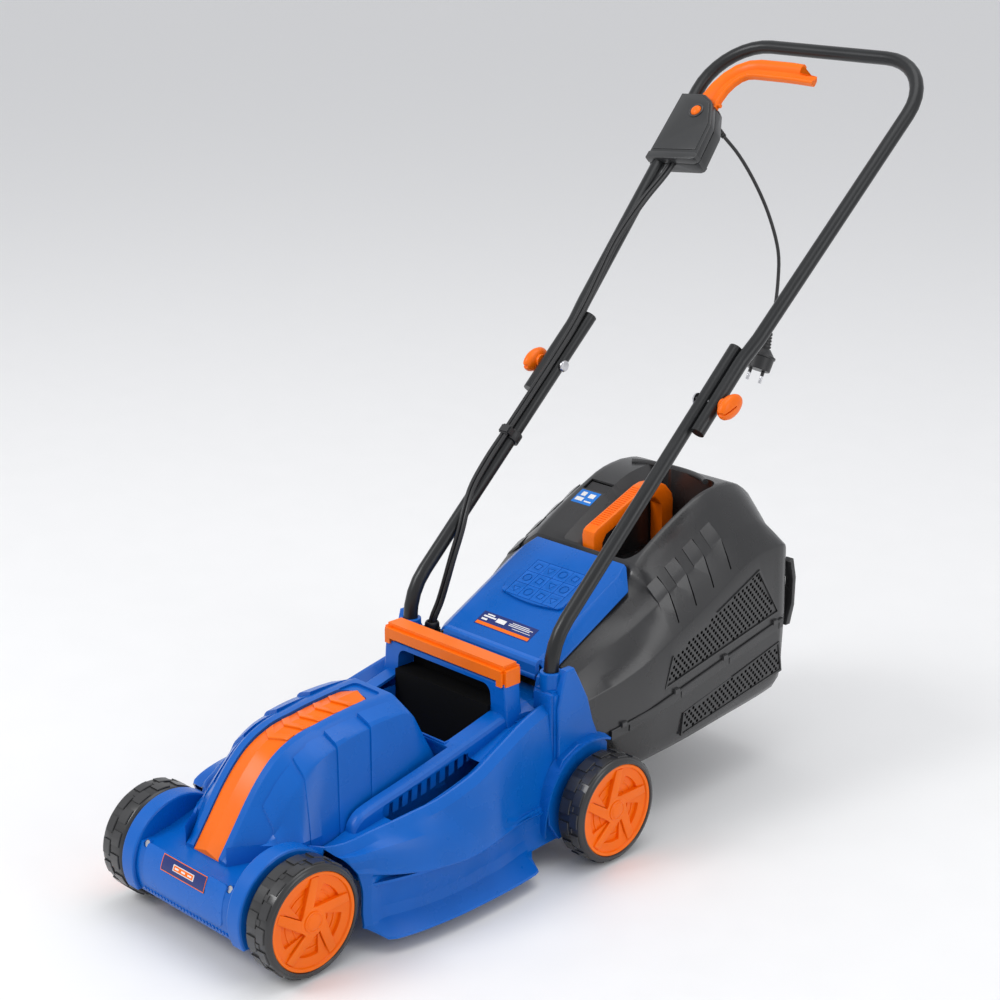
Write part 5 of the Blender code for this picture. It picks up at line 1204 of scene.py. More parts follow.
def make_flap():
    """The rear flap with its tongue, plain marks and label."""
    sections = ((0.43, 0.082, 0.012, 0.009), (0.4447, 0.084, 0.019, 0.015),
        (0.576, 0.085, 0.018, 0.015), (0.595, 0.078, 0.004, 0.003))
    plate = soften(loft([mirrored_ring(y, flap_half(y, *shape)) for y, *shape in sections]), 0.0011, 8)
    y, z = FLAP_ROD
    lip = [(0.4215, 0.2215), (0.4215, 0.2365), (0.4235, 0.2405), (0.4265, 0.2425), (0.432, 0.243),
        (0.434, 0.24), (0.4285, 0.236), (0.4285, 0.2215)]
    low, high = flap_along(0.4985), flap_along(0.58)
    step = [(-0.0545, high), (-0.0545, low + 0.0105), *arc((-0.0455, low + 0.011), 0.009, 180, 240, 4)]
    step += [(x, low + 0.0042 * (abs(x) / 0.042) ** 2.2 - 0.002) for x in spaced(-0.04, 0.04, 12)]
    step += [*arc((0.0455, low + 0.011), 0.009, 300, 360, 4), (0.0545, high)]
    tongue = plate_mesh(step, "XY", -0.0025, 0.0042, bevel=0.001)
    sink = Matrix.Identity(4)
    sink[2][1] = -0.0042 / (flap_along(0.568) - low)
    sink[2][3] = -sink[2][1] * low
    tongue.transform(sink)
    sleeve = rod_mesh((-0.08, y, z), (1, 0, 0), 0.168, 0.005, 24)
    shell = carve(plate, [plate_mesh(lip, "YZ", -0.08, 0.088), sleeve, on_flap(tongue)], [])
    marks = []
    for mark in flap_marks():
        base = Matrix.Identity(4)
        base[2][3] = 0.0042 - 0.0004
        mark.transform(sink @ base)
        marks.append(on_flap(mark))
    bore = rod_mesh((-0.1, y, z), (1, 0, 0), 0.2, 0.0029, 16)
    shell = carve(shell, [], [bore, *marks])
    piece("guard_flap", [(shell, BLUE)], "rear_flap", ["rear_flap"], "blue_plastic", 25)
    low, high = flap_along(0.4467), flap_along(0.468)
    parts = [(on_flap(plate_mesh([(-0.049, low), (0.049, low), (0.049, high), (-0.049, high)], "XY", -0.0003,
                0.0003)), NAVY)]
    parts.append((on_flap(box_mesh((-0.0475, low + 0.0012, 0.0001), (0.0475, low + 0.0062, 0.00042))),
            ORANGE))
    bars = ((-0.044, -0.022, 0.015, 0.0175), (-0.04, -0.027, 0.019, 0.021),
        (-0.02, -0.004, 0.012, 0.019), (0.002, 0.04, 0.014, 0.015), (0.002, 0.044, 0.0165, 0.0175),
        (0.006, 0.036, 0.019, 0.02), (-0.044, -0.034, 0.0095, 0.0125), (0.012, 0.044, 0.0105, 0.0113))
    for x0, x1, t0, t1 in bars:
        parts.append((on_flap(box_mesh((x0, low + t0, 0.0001), (x1, low + t1, 0.00042))), PALE))
    piece("flap_label", parts, "rear_flap", (), "blue_plastic", 30)


# ---------------------------------------------------------------- grass box
BOX_WIDTH = ((0.436, 0.138), (0.47, 0.146), (0.52, 0.155), (0.566, 0.16), (0.82, 0.16), (0.846, 0.15))
PLATEAU_Z = ((0.436, 0.227), (0.5, 0.263), (0.598, 0.315), (0.603, 0.327), (0.62, 0.3388),
    (0.7, 0.3796), (0.735, 0.3925), (0.77, 0.3965), (0.8, 0.393), (0.83, 0.374), (0.846, 0.345))
CREST_X = ((0.436, 0.112), (0.5, 0.12), (0.566, 0.132), (0.606, 0.137), (0.79, 0.137), (0.846, 0.118))
CREST_Z = ((0.436, 0.205), (0.5, 0.236), (0.566, 0.268), (0.606, 0.291), (0.66, 0.317), (0.715, 0.342),
    (0.745, 0.35), (0.79, 0.352), (0.82, 0.342), (0.846, 0.318))
EAVE_Z = ((0.436, 0.188), (0.5, 0.206), (0.566, 0.229), (0.652, 0.265), (0.789, 0.318), (0.82, 0.318),
    (0.846, 0.3))
FLOOR_Z = ((0.436, 0.128), (0.468, 0.118), (0.5, 0.098), (0.545, 0.074), (0.6, 0.076), (0.72, 0.087),
    (0.82, 0.099), (0.846, 0.112))
BOX_WALL = 0.003
BOX_STATIONS = (0.456, 0.466, 0.475, 0.487, 0.5, 0.515, 0.53, 0.545, 0.555, 0.566, 0.582, 0.597, 0.6,
    0.603, 0.612, 0.622, 0.64, 0.66, 0.68, 0.7, 0.72, 0.735, 0.75, 0.77, 0.79, 0.8, 0.81, 0.82, 0.83, 0.838,
    0.843, 0.846)
BACK_ROUND = 0.018
LOOP_FOOT_YS = (0.6205, 0.757)
CLIP_YS = (0.512, 0.606, 0.702, 0.806)
UPPER_WINDOW = [(0.586, 0.18), (0.6, 0.221), (0.77, 0.294), (0.814, 0.224)]
LOWER_WINDOW = [(0.62, 0.104), (0.624, 0.134), (0.819, 0.178), (0.826, 0.136)]


def seam_z(y):
    """The height of the seam between the grass box's two shells."""
    return 0.1665 + 0.204 * (y - 0.587)


def back_shrink(y):
    """How far the box draws in where its rear end is rounded."""
    deep = max(0.0, (y - (0.846 - BACK_ROUND)) / BACK_ROUND)
    return 0.01 * (1 - sqrt(max(0.0, 1 - deep**2)))


def box_upper_half(y, inset):
    """Half of a section of the box's upper shell."""
    seam = seam_z(y) - 0.01 if inset else seam_z(y) + 0.0004
    width, back = along(BOX_WIDTH, y), back_shrink(y)
    top, crest_x, crest_z, eave = along(PLATEAU_Z, y), along(CREST_X, y), along(CREST_Z, y), along(EAVE_Z, y)
    if inset:
        return [(0, top - inset), (0.088 - inset * 0.5, top - inset),
            (crest_x - inset, crest_z - inset * 0.8), (width - inset - back, eave - inset * 0.4),
            (width + 0.002 - inset - back, seam), (0, seam)]
    half = [(0, top), (0.08, top), (0.0865, top - 0.0004), (0.09, top - 0.0018)]
    for share in (0.35, 0.7):
        half.append((0.09 + (crest_x - 0.09) * share, top - 0.0018 + (crest_z - top + 0.0018) * share))
    half += [(crest_x - 0.0015, crest_z + 0.0009), (crest_x + 0.0012, crest_z - 0.0016)]
    half += [((crest_x + width) / 2 + 0.001, (crest_z + eave) / 2 + 0.0008)]
    half += [(width - back - 0.0006, eave + 0.0016), (width - back + 0.0004, eave - 0.0012)]
    half += [(width + 0.002 - back, seam), (0, seam)]
    return half


def box_lower_half(y, inset):
    """Half of a section of the box's lower shell."""
    seam = seam_z(y) + 0.01 if inset else seam_z(y)
    width, floor, back = along(BOX_WIDTH, y), along(FLOOR_Z, y) + inset, back_shrink(y)
    waist = min(floor + 0.034, seam_z(y) - 0.008)
    half = [(0, seam), (width + 0.002 - inset - back, seam), (width - 0.001 - inset - back, waist)]
    if not inset:
        half += [(width - 0.0035 - back, floor + 0.02), (width - 0.009 - back, floor + 0.0105)]
    half += [(width - 0.016 - inset - back, floor + 0.0052), (width - 0.03 - inset - back, floor),
        (0, floor)]
    return half


def box_loft(half, inset):
    """A shell of the box, or its hollow when drawn in by the inset."""
    stations = list(BOX_STATIONS)
    if inset:
        stations = [y for y in stations if stations[0] + inset < y < stations[-1] - inset]
        stations = [BOX_STATIONS[0] + inset, *stations, BOX_STATIONS[-1] - inset]
    return loft([mirrored_ring(y, half(y, inset)) for y in stations])


def inside(point, corners):
    """Whether a hole at this (y, z) point keeps clear of the window's rim."""
    y, z = point
    sign = 0
    for (y0, z0), (y1, z1) in zip(corners, corners[1:] + corners[:1]):
        cross = (y1 - y0) * (z - z0) - (z1 - z0) * (y - y0)
        reach = cross / hypot(y1 - y0, z1 - z0)
        if sign == 0:
            sign = 1 if cross > 0 else -1
        if reach * sign < 0.0034:
            return False
    return True


HOLE_PITCH = (0.0082, 0.0058)


def perforated(side, corners):
    """A window's panel: staggered round holes in a thin sheet that follows the box's slope."""
    slope = 0.3
    holes = []
    for row in range(60):
        for column in range(60):
            y = 0.57 + HOLE_PITCH[0] * (column + 0.5 * (row % 2))
            z = 0.02 + HOLE_PITCH[1] * row + slope * (y - 0.57)
            if inside((y, z), corners):
                holes.append([(y + 0.00245 * cos(pi * i / 4), z + 0.00245 * sin(pi * i / 4))
                        for i in range(8)])
    return side_plate(side, corners, 0.1594, 0.1607, holes)


def grown(corners, by):
    """The window's corners moved outwards."""
    middle = [sum(c[i] for c in corners) / len(corners) for i in (0, 1)]
    return [(y + by * (1 if y > middle[0] else -1), z + by * (1 if z > middle[1] else -1)) for y,
        z in corners]


def window_frame(side, corners, outer_x):
    """The thin raised frame round a window."""
    opening = side_plate(side, grown(corners, -0.0016), 0.1485, outer_x + 0.01)
    return carve(side_plate(side, grown(corners, 0.0012), 0.1585, outer_x), (), [opening])


def box_rib(side, y, low, high, heights):
    """A strip over the crest of the box: rib or slot, from y+low to y+high."""
    rings = []
    for x in (0.116, 0.128, 0.1362, 0.1378, 0.148, 0.1555):
        crest, plateau, eave = along(CREST_Z, y), along(PLATEAU_Z, y), along(EAVE_Z, y)
        if x < 0.137:
            z = crest + (plateau - crest) * (0.137 - x) / 0.047
        else:
            z = crest + (eave - crest) * (x - 0.137) / 0.023
        end = 0.3 if x in (0.116, 0.1555) else 1.0
        rise = 0.0 if heights[1] > 0.01 else 1.0
        section = [(low, heights[0]), (low, 0.0006 * rise + heights[1] * (1 - rise)),
            (high, heights[1] * end + (1 - rise) * heights[1] * (1 - end)), (high, heights[0])]
        rings.append([(side * x, y + dy, z + dz + 0.45 * dy) for dy, dz in section])
    return loft(rings)


POCKET = [*arc((-0.0045, 0.612), 0.008, 180, 270, 5), *arc((0.064, 0.624), 0.02, 270, 360, 6),
    *arc((0.058, 0.756), 0.026, 0, 90, 7), *arc((-0.0045, 0.774), 0.008, 90, 180, 6)]


def pocket_room():
    """The block inside the box that gives the hand's pocket its floor and walls."""
    rings = []
    for y in (0.603, 0.612, 0.622, 0.64, 0.66, 0.68, 0.7, 0.72, 0.735, 0.75, 0.77, 0.786):
        top = along(PLATEAU_Z, y) - 0.002
        rings.append([(-0.047, y, 0.289), (0.0865, y, 0.289), (0.0865, y, top), (-0.047, y, top)])
    return loft(rings)


def pocket_slope():
    """The pocket's sloping side next to the handle."""
    rings = []
    for y in (0.606, 0.612, 0.622, 0.64, 0.66, 0.68, 0.7, 0.72, 0.735, 0.75, 0.77, 0.78):
        top = along(PLATEAU_Z, y)
        rings.append([(-0.0123, y, top - 0.028), (0.01, y, top - 0.028), (0.01, y, top + 0.03),
                (-0.0435, y, top + 0.03), (-0.0415, y, top)])
    return loft(rings)


def make_box():
    """The grass box: two shells, carry loop and sticker."""
    upper = box_loft(box_upper_half, 0)
    pocket = plate_mesh(POCKET, "XY", 0.292, 0.46)
    steps = [cut(box_loft(box_upper_half, BOX_WALL)), join(pocket_room()), cut(pocket), cut(pocket_slope())]
    for side in (-1, 1):
        steps.append(cut(side_plate(side, UPPER_WINDOW, 0.15, 0.175)))
        for y in (0.606, 0.64, 0.674, 0.708):
            steps.append(join(box_rib(side, y, -0.009, 0.009, (-0.003, 0.0032))))
            steps.append(cut(box_rib(side, y, 0.0091, 0.0112, (-0.009, 0.012))))
    for y in LOOP_FOOT_YS:
        steps.append(cut(rod_mesh((0, y, 0.25), (0, 0, 1), 0.06, 0.0021, 12)))
    steps.append(cut(box_mesh((-0.106, 0.44, 0.1), (0.106, 0.464, 0.198))))
    x, y = -0.062, 0.701
    points = [(y - 0.0146, along(PLATEAU_Z, y) - 0.043), (y - 0.0146, 0.43), (y + 0.0046, 0.43),
        (y + 0.0046, along(PLATEAU_Z, y) - 0.03)]
    steps.append(cut(plate_mesh(points, "YZ", x - 0.0206, x + 0.0206)))
    shell = boolean_steps(upper, steps)
    sheets = []
    for side in (-1, 1):
        sheets.append(perforated(side, UPPER_WINDOW))
        sheets.append(window_frame(side, UPPER_WINDOW, 0.1626))
    brim = [(-0.066 + 0.132 * i / 24, 0.788 - 0.02 * abs(i / 12 - 1) ** 2.2) for i in range(25)]
    path = [(px, py, along(PLATEAU_Z, py) + 0.0002) for px, py in brim]
    sheets.append(tube_mesh(path, 0.0042, 4))
    piece("box_top_shell", [(shell, BOX_GREY), *[(m, BOX_GREY) for m in sheets]], "grass_box",
        ["box_upper_shell"], "grey_plastic", 24)

    lower = box_loft(box_lower_half, 0)
    flange = loft([mirrored_ring(y, [(0, seam_z(y)), (along(BOX_WIDTH, y) + 0.0042, seam_z(y)),
                (along(BOX_WIDTH, y) + 0.005, seam_z(y) - 0.001),
                (along(BOX_WIDTH, y) + 0.0046, seam_z(y) - 0.013), (0, seam_z(y) - 0.016)])
            for y in (0.492, 0.52, 0.566, 0.65, 0.74, 0.822)])
    steps = [join(flange), cut(box_loft(box_lower_half, BOX_WALL))]
    for side in (-1, 1):
        steps.append(cut(side_plate(side, LOWER_WINDOW, 0.15, 0.175)))
        for y in CLIP_YS:
            x = along(BOX_WIDTH, y)
            low, high = (y + 0.0065, seam_z(y) - 0.014), (y + 0.0085, seam_z(y) - 0.002)
            steps.append(cut(side_box(side, x + 0.004, x + 0.01, low, high)))
    steps.append(cut(box_mesh((-0.106, 0.44, 0.1265), (0.106, 0.464, 0.2))))
    shell = boolean_steps(lower, steps)
    sheets = []
    for side in (-1, 1):
        sheets.append(perforated(side, LOWER_WINDOW))
        sheets.append(window_frame(side, LOWER_WINDOW, 0.162))
        for y in CLIP_YS:
            x = along(BOX_WIDTH, y)
            low, high = (y - 0.0055, seam_z(y) - 0.0035), (y + 0.005, seam_z(y) + 0.0042)
            sheets.append(side_box(side, x - 0.0005, x + 0.0056, low, high, 0.0008))
        latch = [(0.8395, 0.196), (0.848, 0.196), (0.856, 0.222), (0.857, 0.262), (0.85, 0.29),
            (0.844, 0.286), (0.85, 0.26), (0.8495, 0.226), (0.842, 0.206)]
        sheets.append(side_plate(side, latch, 0.144, 0.157, bevel=0.0008))
    piece("box_base_shell", [(shell, BOX_GREY), *[(m, BOX_GREY) for m in sheets]], "grass_box",
        ["box_lower_shell"], "grey_plastic", 24)

    outline = [(0.6135, 0.2926), (0.6085, 0.341), (0.6105, 0.348), (0.616, 0.3522), (0.708, 0.3885),
        (0.72, 0.391), (0.74, 0.3895), (0.753, 0.383), (0.765, 0.37), (0.768, 0.36),
        (0.768, 0.2926), (0.746, 0.2926), (0.744, 0.357), (0.73, 0.37), (0.713, 0.3705),
        (0.6345, 0.3405), (0.6275, 0.33), (0.6275, 0.2926)]
    loop = plate_mesh(outline, "YZ", -0.011, 0.011, bevel=0.0028)
    grooves = []
    for i in range(21):
        y = 0.6235 + 0.004 * i
        z = 0.3522 + (y - 0.616) * 0.3946
        groove = box_mesh((-0.0078, -0.0008, -0.0013), (0.0078, 0.0008, 0.003), 0.0006, 1)
        groove.transform(Matrix.Translation((0, y, z)) @ Matrix.Rotation(radians(21.5), 4, "X"))
        grooves.append(groove)
    feet = [rod_mesh((0, y, 0.282), (0, 0, 1), 0.014, 0.0018, 12) for y in LOOP_FOOT_YS]
    piece("box_carry_loop", [(carve(loop, feet, grooves), ORANGE)], "grass_box", ["box_handle"],
        "orange_plastic", 30)

    frame_x, low_y, high_y = (-0.08, -0.045), 0.66, 0.6835
    sticker = []
    for x0, x1, y0, y1, mat, lift in ((frame_x[0], frame_x[1], low_y, high_y, SKY, 0.0003),
        (-0.077, -0.064, 0.664, 0.67, PALE, 0.0005), (-0.06, -0.048, 0.664, 0.666, PALE, 0.0005),
        (-0.074, -0.066, 0.673, 0.68, PALE, 0.0005), (-0.06, -0.05, 0.672, 0.679, PALE, 0.0005)):
        corners = [(x0, y0), (x1, y0), (x1, y1), (x0, y1)]
        top = [(x, y, along(PLATEAU_Z, y) + lift) for x, y in corners]
        bottom = [(x, y, along(PLATEAU_Z, y) - 0.0004) for x, y in corners]
        sticker.append((loft([bottom, top]), mat))
    piece("box_sticker", sticker, "grass_box", (), "grey_plastic", 30)



# ---------------------------------------------------------------- handle tubes, knobs
CROSSBAR_Y, CROSSBAR_Z, CROSSBAR_CORNER_X, CORNER_RADIUS = 1.0827, 0.9345, 0.1869, 0.0821
UPPER_SLOPE, LOWER_SLOPE = 1.0081, 0.9282
LOWER_TUBE_FOOT_Z = 0.137
LOWER_TUBE_TOP = (0.7463, 0.5957)
UPPER_END_X = 0.1485
PIVOT = (0.684, 0.5378)


def lower_line(y):
    """The lower tubes' height at y."""
    return LOWER_TUBE_TOP[1] + LOWER_SLOPE * (y - LOWER_TUBE_TOP[0])


def open_tube(path):
    """A tube with its bore open for a short way at both ends."""
    tube = tube_mesh(path, TUBE_RADIUS, 6)
    plugs = []
    for end, inner in ((path[0], path[1]), (path[-1], path[-2])):
        out = (Vector(end) - Vector(inner)).normalized()
        plugs.append(rod_mesh(Vector(end) - out * 0.02, out, 0.03, TUBE_RADIUS - 0.0014, 24))
    return carve(tube, (), plugs)


def make_tubes():
    """The two lower tubes and the upper handle."""
    for name, side in (("left", 1), ("right", -1)):
        x = side * LOWER_TUBE_X
        corners = [(x, LOWER_TUBE_Y, LOWER_TUBE_FOOT_Z), (x, LOWER_TUBE_Y, lower_line(LOWER_TUBE_Y)),
            (x, *LOWER_TUBE_TOP)]
        piece("leg_tube_" + name, [(open_tube(rounded_path(corners, [0.084])), PAINT)], "deck",
            ["lower_tube_" + name], "tube_paint", 45)
    half = [
        (UPPER_END_X, 0.6494, lower_line(0.6494)), (UPPER_END_X, 0.735, lower_line(0.735)),
        (0.1535, 0.76, 0.7503 + UPPER_SLOPE * (0.76 - 0.9)), (CROSSBAR_CORNER_X, CROSSBAR_Y, CROSSBAR_Z),
    ]
    corners = half + [(-x, y, z) for x, y, z in reversed(half)]
    path = rounded_path(corners, [0.06, 0.06, CORNER_RADIUS, CORNER_RADIUS, 0.06, 0.06])
    piece("push_bar", [(open_tube(path), PAINT)], "upper_handle", ["upper_handle"], "tube_paint", 45)


def make_knobs():
    """The egg-shaped knobs on the fold's bolts."""
    egg = [(0, -0.0002), (0.008, 0.0), (0.014, 0.0016), (0.0175, 0.0046), (0.0195, 0.0084),
        (0.0198, 0.0108), (0.0184, 0.0138), (0.0146, 0.0162), (0.008, 0.0174), (0, 0.0177)]
    for name, side in (("left", 1), ("right", -1)):
        tilt = Matrix.Rotation(radians(20), 4, "X") @ Matrix.Diagonal((1, 1.12, 0.74, 1))
        wing = lathe(egg, (0, 0, 0), (side, 0, 0), 48)
        wing.transform(Matrix.Translation((side * 0.1622, *PIVOT)) @ tilt)
        collar = rod_mesh((side * 0.1586, *PIVOT), (side, 0, 0), 0.006, 0.0088, 32, bevel=0.0006)
        slot = box_mesh((-0.0034, -0.025, -0.0014), (0.0034, 0.004, 0.0014), 0.0005)
        slot.transform(Matrix.Translation((side * 0.1796, *PIVOT)) @ tilt)
        bore = rod_mesh((side * 0.15, *PIVOT), (side, 0, 0), 0.0215, 0.0034, 16)
        notch = rod_mesh((side * 0.168, PIVOT[0] - 0.0205, PIVOT[1] - 0.0065), (side, 0, 0), 0.015, 0.003,
            16)
        piece("wing_knob_" + name, [(carve(wing, [collar], [bore, slot, notch]), ORANGE)], "knob_" + name,
            ["knob_" + name], "orange_plastic", 40)


# ---------------------------------------------------------------- switch box, in the handle's own plane
HANDLE_UP = Vector((0, 1, UPPER_SLOPE)).normalized()
HANDLE_OUT = Vector((1, 0, 0)).cross(HANDLE_UP)
HANDLE = Matrix.Translation((0, CROSSBAR_Y, CROSSBAR_Z)) @ Matrix((Vector((1, 0, 0)), HANDLE_UP,
        HANDLE_OUT)).transposed().to_4x4()
SWITCH_OUTLINE = [(-0.1925, -0.104), (-0.156, -0.1012), (-0.15, -0.102), (-0.134, -0.1105),
    (-0.1285, -0.1155), (-0.111, -0.148), (-0.1088, -0.1535), (-0.1028, -0.201), (-0.1032, -0.205),
    (-0.1065, -0.208), (-0.11, -0.209), (-0.1865, -0.217)]
BUTTON_X, BUTTON_ALONG, BUTTON_RADIUS = -0.1475, -0.132, 0.0083
LEVER_ALONG = -0.11
CABLE_RADIUS = 0.003


def in_handle(mesh):
    mesh.transform(HANDLE)
    return mesh


def handle_point(x, d, out=0.0):
    return HANDLE @ Vector((x, d, out))


def switch_tools():
    """What is cut from both halves of the switch box: tube, lever, button and leads."""
    high = Vector((-CROSSBAR_CORNER_X, CROSSBAR_Y, CROSSBAR_Z))
    low = Vector((-0.1535, 0.76, 0.7503 + UPPER_SLOPE * (0.76 - 0.9)))
    run = (low - high).normalized()
    tools = [tube_mesh([high + run * 0.0775, high + run * 0.245], TUBE_RADIUS + 0.0004, 6)]
    mouth = [(-0.167, -0.09), (-0.167, -0.117), (-0.1265, -0.117), (-0.12, -0.09)]
    room = [(-0.156, -0.14), (-0.156, -0.2), (-0.112, -0.194), (-0.116, -0.156), (-0.126, -0.14)]
    tools.append(in_handle(plate_mesh(mouth, "XY", -0.0125, 0.0095)))
    tools.append(in_handle(plate_mesh(room, "XY", -0.0165, 0.009)))
    tools.append(in_handle(rod_mesh((-0.1685, LEVER_ALONG, 0), (1, 0, 0), 0.045, 0.0034, 16)))
    tools.append(in_handle(rod_mesh((BUTTON_X, BUTTON_ALONG, -0.012), (0, 0, 1), 0.06, BUTTON_RADIUS + 0.0003,
                32)))
    for x in (-0.1515, -0.144):
        tools.append(in_handle(rod_mesh((x, -0.19, 0), (0, -1, 0), 0.05, CABLE_RADIUS + 0.0004, 16)))
    return tools


def make_switch_box():
    """The two halves of the switch box and the lock button."""
    tools = switch_tools()
    front = in_handle(plate_mesh(SWITCH_OUTLINE, "XY", 0.0001, 0.0125, bevel=0.0022))
    inner = [(-0.188, -0.1072), (-0.154, -0.1055), (-0.1335, -0.115), (-0.115, -0.15),
        (-0.1095, -0.196), (-0.183, -0.204)]
    panel = in_handle(plate_mesh(inner, "XY", 0.009, 0.0137, bevel=0.0011))
    lip = [(-0.188, -0.2085), (-0.1075, -0.2), (-0.102, -0.203), (-0.103, -0.209), (-0.108, -0.212),
        (-0.1875, -0.22)]
    sill = in_handle(plate_mesh(lip, "XY", 0.0001, 0.0132, bevel=0.0014))
    ring = in_handle(lathe([(BUTTON_RADIUS + 0.0003, 0.01), (0.0116, 0.01), (0.0114, 0.0146),
                (0.0102, 0.0154), (BUTTON_RADIUS + 0.0003, 0.015)], (BUTTON_X, BUTTON_ALONG, 0), (0, 0, 1),
            48))
    piece("switch_cover_front", [(carve(front, [panel, sill, ring], tools), SWITCH_GREY)], "upper_handle",
        ["switch_housing_upper"], "grey_plastic", 28)
    back = in_handle(plate_mesh(SWITCH_OUTLINE, "XY", -0.02, -0.0004, bevel=0.0022))
    sill = in_handle(plate_mesh(lip, "XY", -0.0206, -0.0004, bevel=0.0014))
    piece("switch_cover_back", [(carve(back, [sill], switch_tools()), SWITCH_GREY)], "upper_handle",
        ["switch_housing_lower"], "grey_plastic", 28)
    dome = [(0, 0.0186), (0.003, 0.0183), (0.0056, 0.0174), (0.0074, 0.016), (0.0082, 0.0144),
        (BUTTON_RADIUS, 0.013), (BUTTON_RADIUS, 0.003), (0, 0.003)]
    button = in_handle(lathe(dome[::-1], (BUTTON_X, BUTTON_ALONG, 0), (0, 0, 1), 40))
    piece("lock_button", [(button, ORANGE)], "safety_button", ["safety_button"], "orange_plastic", 40)


def make_lever():
    """The bail lever: a grooved channel swept from the switch box along the crossbar."""
    spine = [(-0.147, -0.1155, 0.0185), (-0.147, -0.098, 0.018), (-0.144, -0.08, 0.0172),
        (-0.137, -0.064, 0.0165), (-0.1265, -0.051, 0.0158), (-0.113, -0.043, 0.0153),
        (-0.098, -0.0405, 0.0152), (-0.07, -0.0403, 0.0152), (-0.045, -0.0402, 0.0152),
        (-0.023, -0.041, 0.0148)]
    section = [(-1, 0.0028), (-0.9, 0.0048), (-0.72, 0.0044), (-0.45, 0.0012), (-0.05, 0.001),
        (0.2, 0.0042), (0.55, 0.0064), (0.8, 0.0058), (1, 0.003), (1, -0.0028), (0.8, -0.0042),
        (0.45, -0.004), (-0.4, -0.004), (-0.85, -0.0048), (-1, -0.004)]
    rings = []
    for i, (x, d, half) in enumerate(spine):
        before, after = spine[max(0, i - 1)], spine[min(len(spine) - 1, i + 1)]
        run = Vector((after[0] - before[0], after[1] - before[1])).normalized()
        side = Vector((-run.y, run.x))
        rings.append([(x + side.x * u * half, d + side.y * u * half, n) for u, n in section])
    x, d, half = spine[-1]
    rings.append([(x + (0.03 if u < 0 else 0.0008), d + u * half - (0.0012 if u < 0 else 0.003), n) for u,
            n in section])
    blade = in_handle(loft(rings))
    pin = in_handle(rod_mesh((-0.168, LEVER_ALONG, 0), (1, 0, 0), 0.044, 0.003, 16))
    piece("bail_bar", [(carve(blade, [pin]), ORANGE)], "bail_lever", ["bail_lever"], "orange_plastic", 32)




# ---------------------------------------------------------------- cables, cord and plug
def lower_point(x, y, out):
    """A place beside a lower tube: x, y, and the distance out from the tube's axis."""
    run = Vector((0, 1, LOWER_SLOPE)).normalized()
    return Vector((x, y, lower_line(y))) + Vector((0, -run.z, run.y)) * out


def make_cables():
    """The two motor leads, routed from the switch box past the handle's fold to the gland."""
    for name, offset in (("a", -0.0036), ("b", 0.0036)):
        route = [handle_point(-0.1478 + offset, -0.2, 0.0),
            handle_point(-0.1478 + offset, -0.23, 0.0005), handle_point(-0.1485 + offset, -0.29, 0.0095),
            handle_point(-0.148 + offset * 0.9, -0.36, 0.014),
            handle_point(-0.14 + offset * 0.9, -0.42, 0.015),
            lower_point(-0.133 + offset * 0.9, 0.755, 0.016),
            lower_point(-0.129 + offset * 0.9, 0.72, 0.015),
            lower_point(-0.1285 + offset * 0.9, 0.695, 0.0145),
            lower_point(-0.1285 + offset * 0.9, 0.686, 0.0143),
            lower_point(-0.1285 + offset * 0.9, 0.64, 0.0141),
            lower_point(-0.1285 + offset * 0.9, 0.595, 0.0141), lower_point(-0.1285 + offset, 0.56, 0.0142),
            lower_point(-0.124 + offset, 0.527, 0.014), lower_point(-0.1155 + offset, 0.503, 0.01),
            lower_point(-0.1113 + offset, 0.484, 0.001), Vector((-0.1113 + offset, 0.468, 0.318)),
            Vector((-0.115 + offset, 0.46, 0.288)), Vector((-0.1195 + offset, 0.452, 0.258)),
            Vector((-0.1215 + offset * 0.96, 0.4415, 0.236)),
            Vector((-0.1215 + offset * 0.96, 0.44, 0.2225))]
        cable = tube_mesh(smooth_path(route, 0.007), CABLE_RADIUS, 4)
        obj = piece("motor_lead_" + name, [(cable, RUBBER)], None,
            [f"motor_cable_lower_{name}", f"motor_cable_upper_{name}"], "rubber", 60)
        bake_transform(obj)


CORD_ROUTE = [(-0.1425, 1.011, 0.8305), (-0.1365, 1.032, 0.808), (-0.13, 1.056, 0.782),
    (-0.12, 1.083, 0.74), (-0.11, 1.1075, 0.688), (-0.1, 1.119, 0.635),
    (-0.0945, 1.114, 0.595), (-0.089, 1.102, 0.556), (-0.0848, 1.087, 0.524)]
PLUG_TOP = Vector((-0.0845, 1.0862, 0.523))
PLUG_RUN = Vector((0.0, -0.45, -0.893)).normalized()
PLUG_ACROSS = Vector((0.75, 0.59, -0.2973)).normalized()


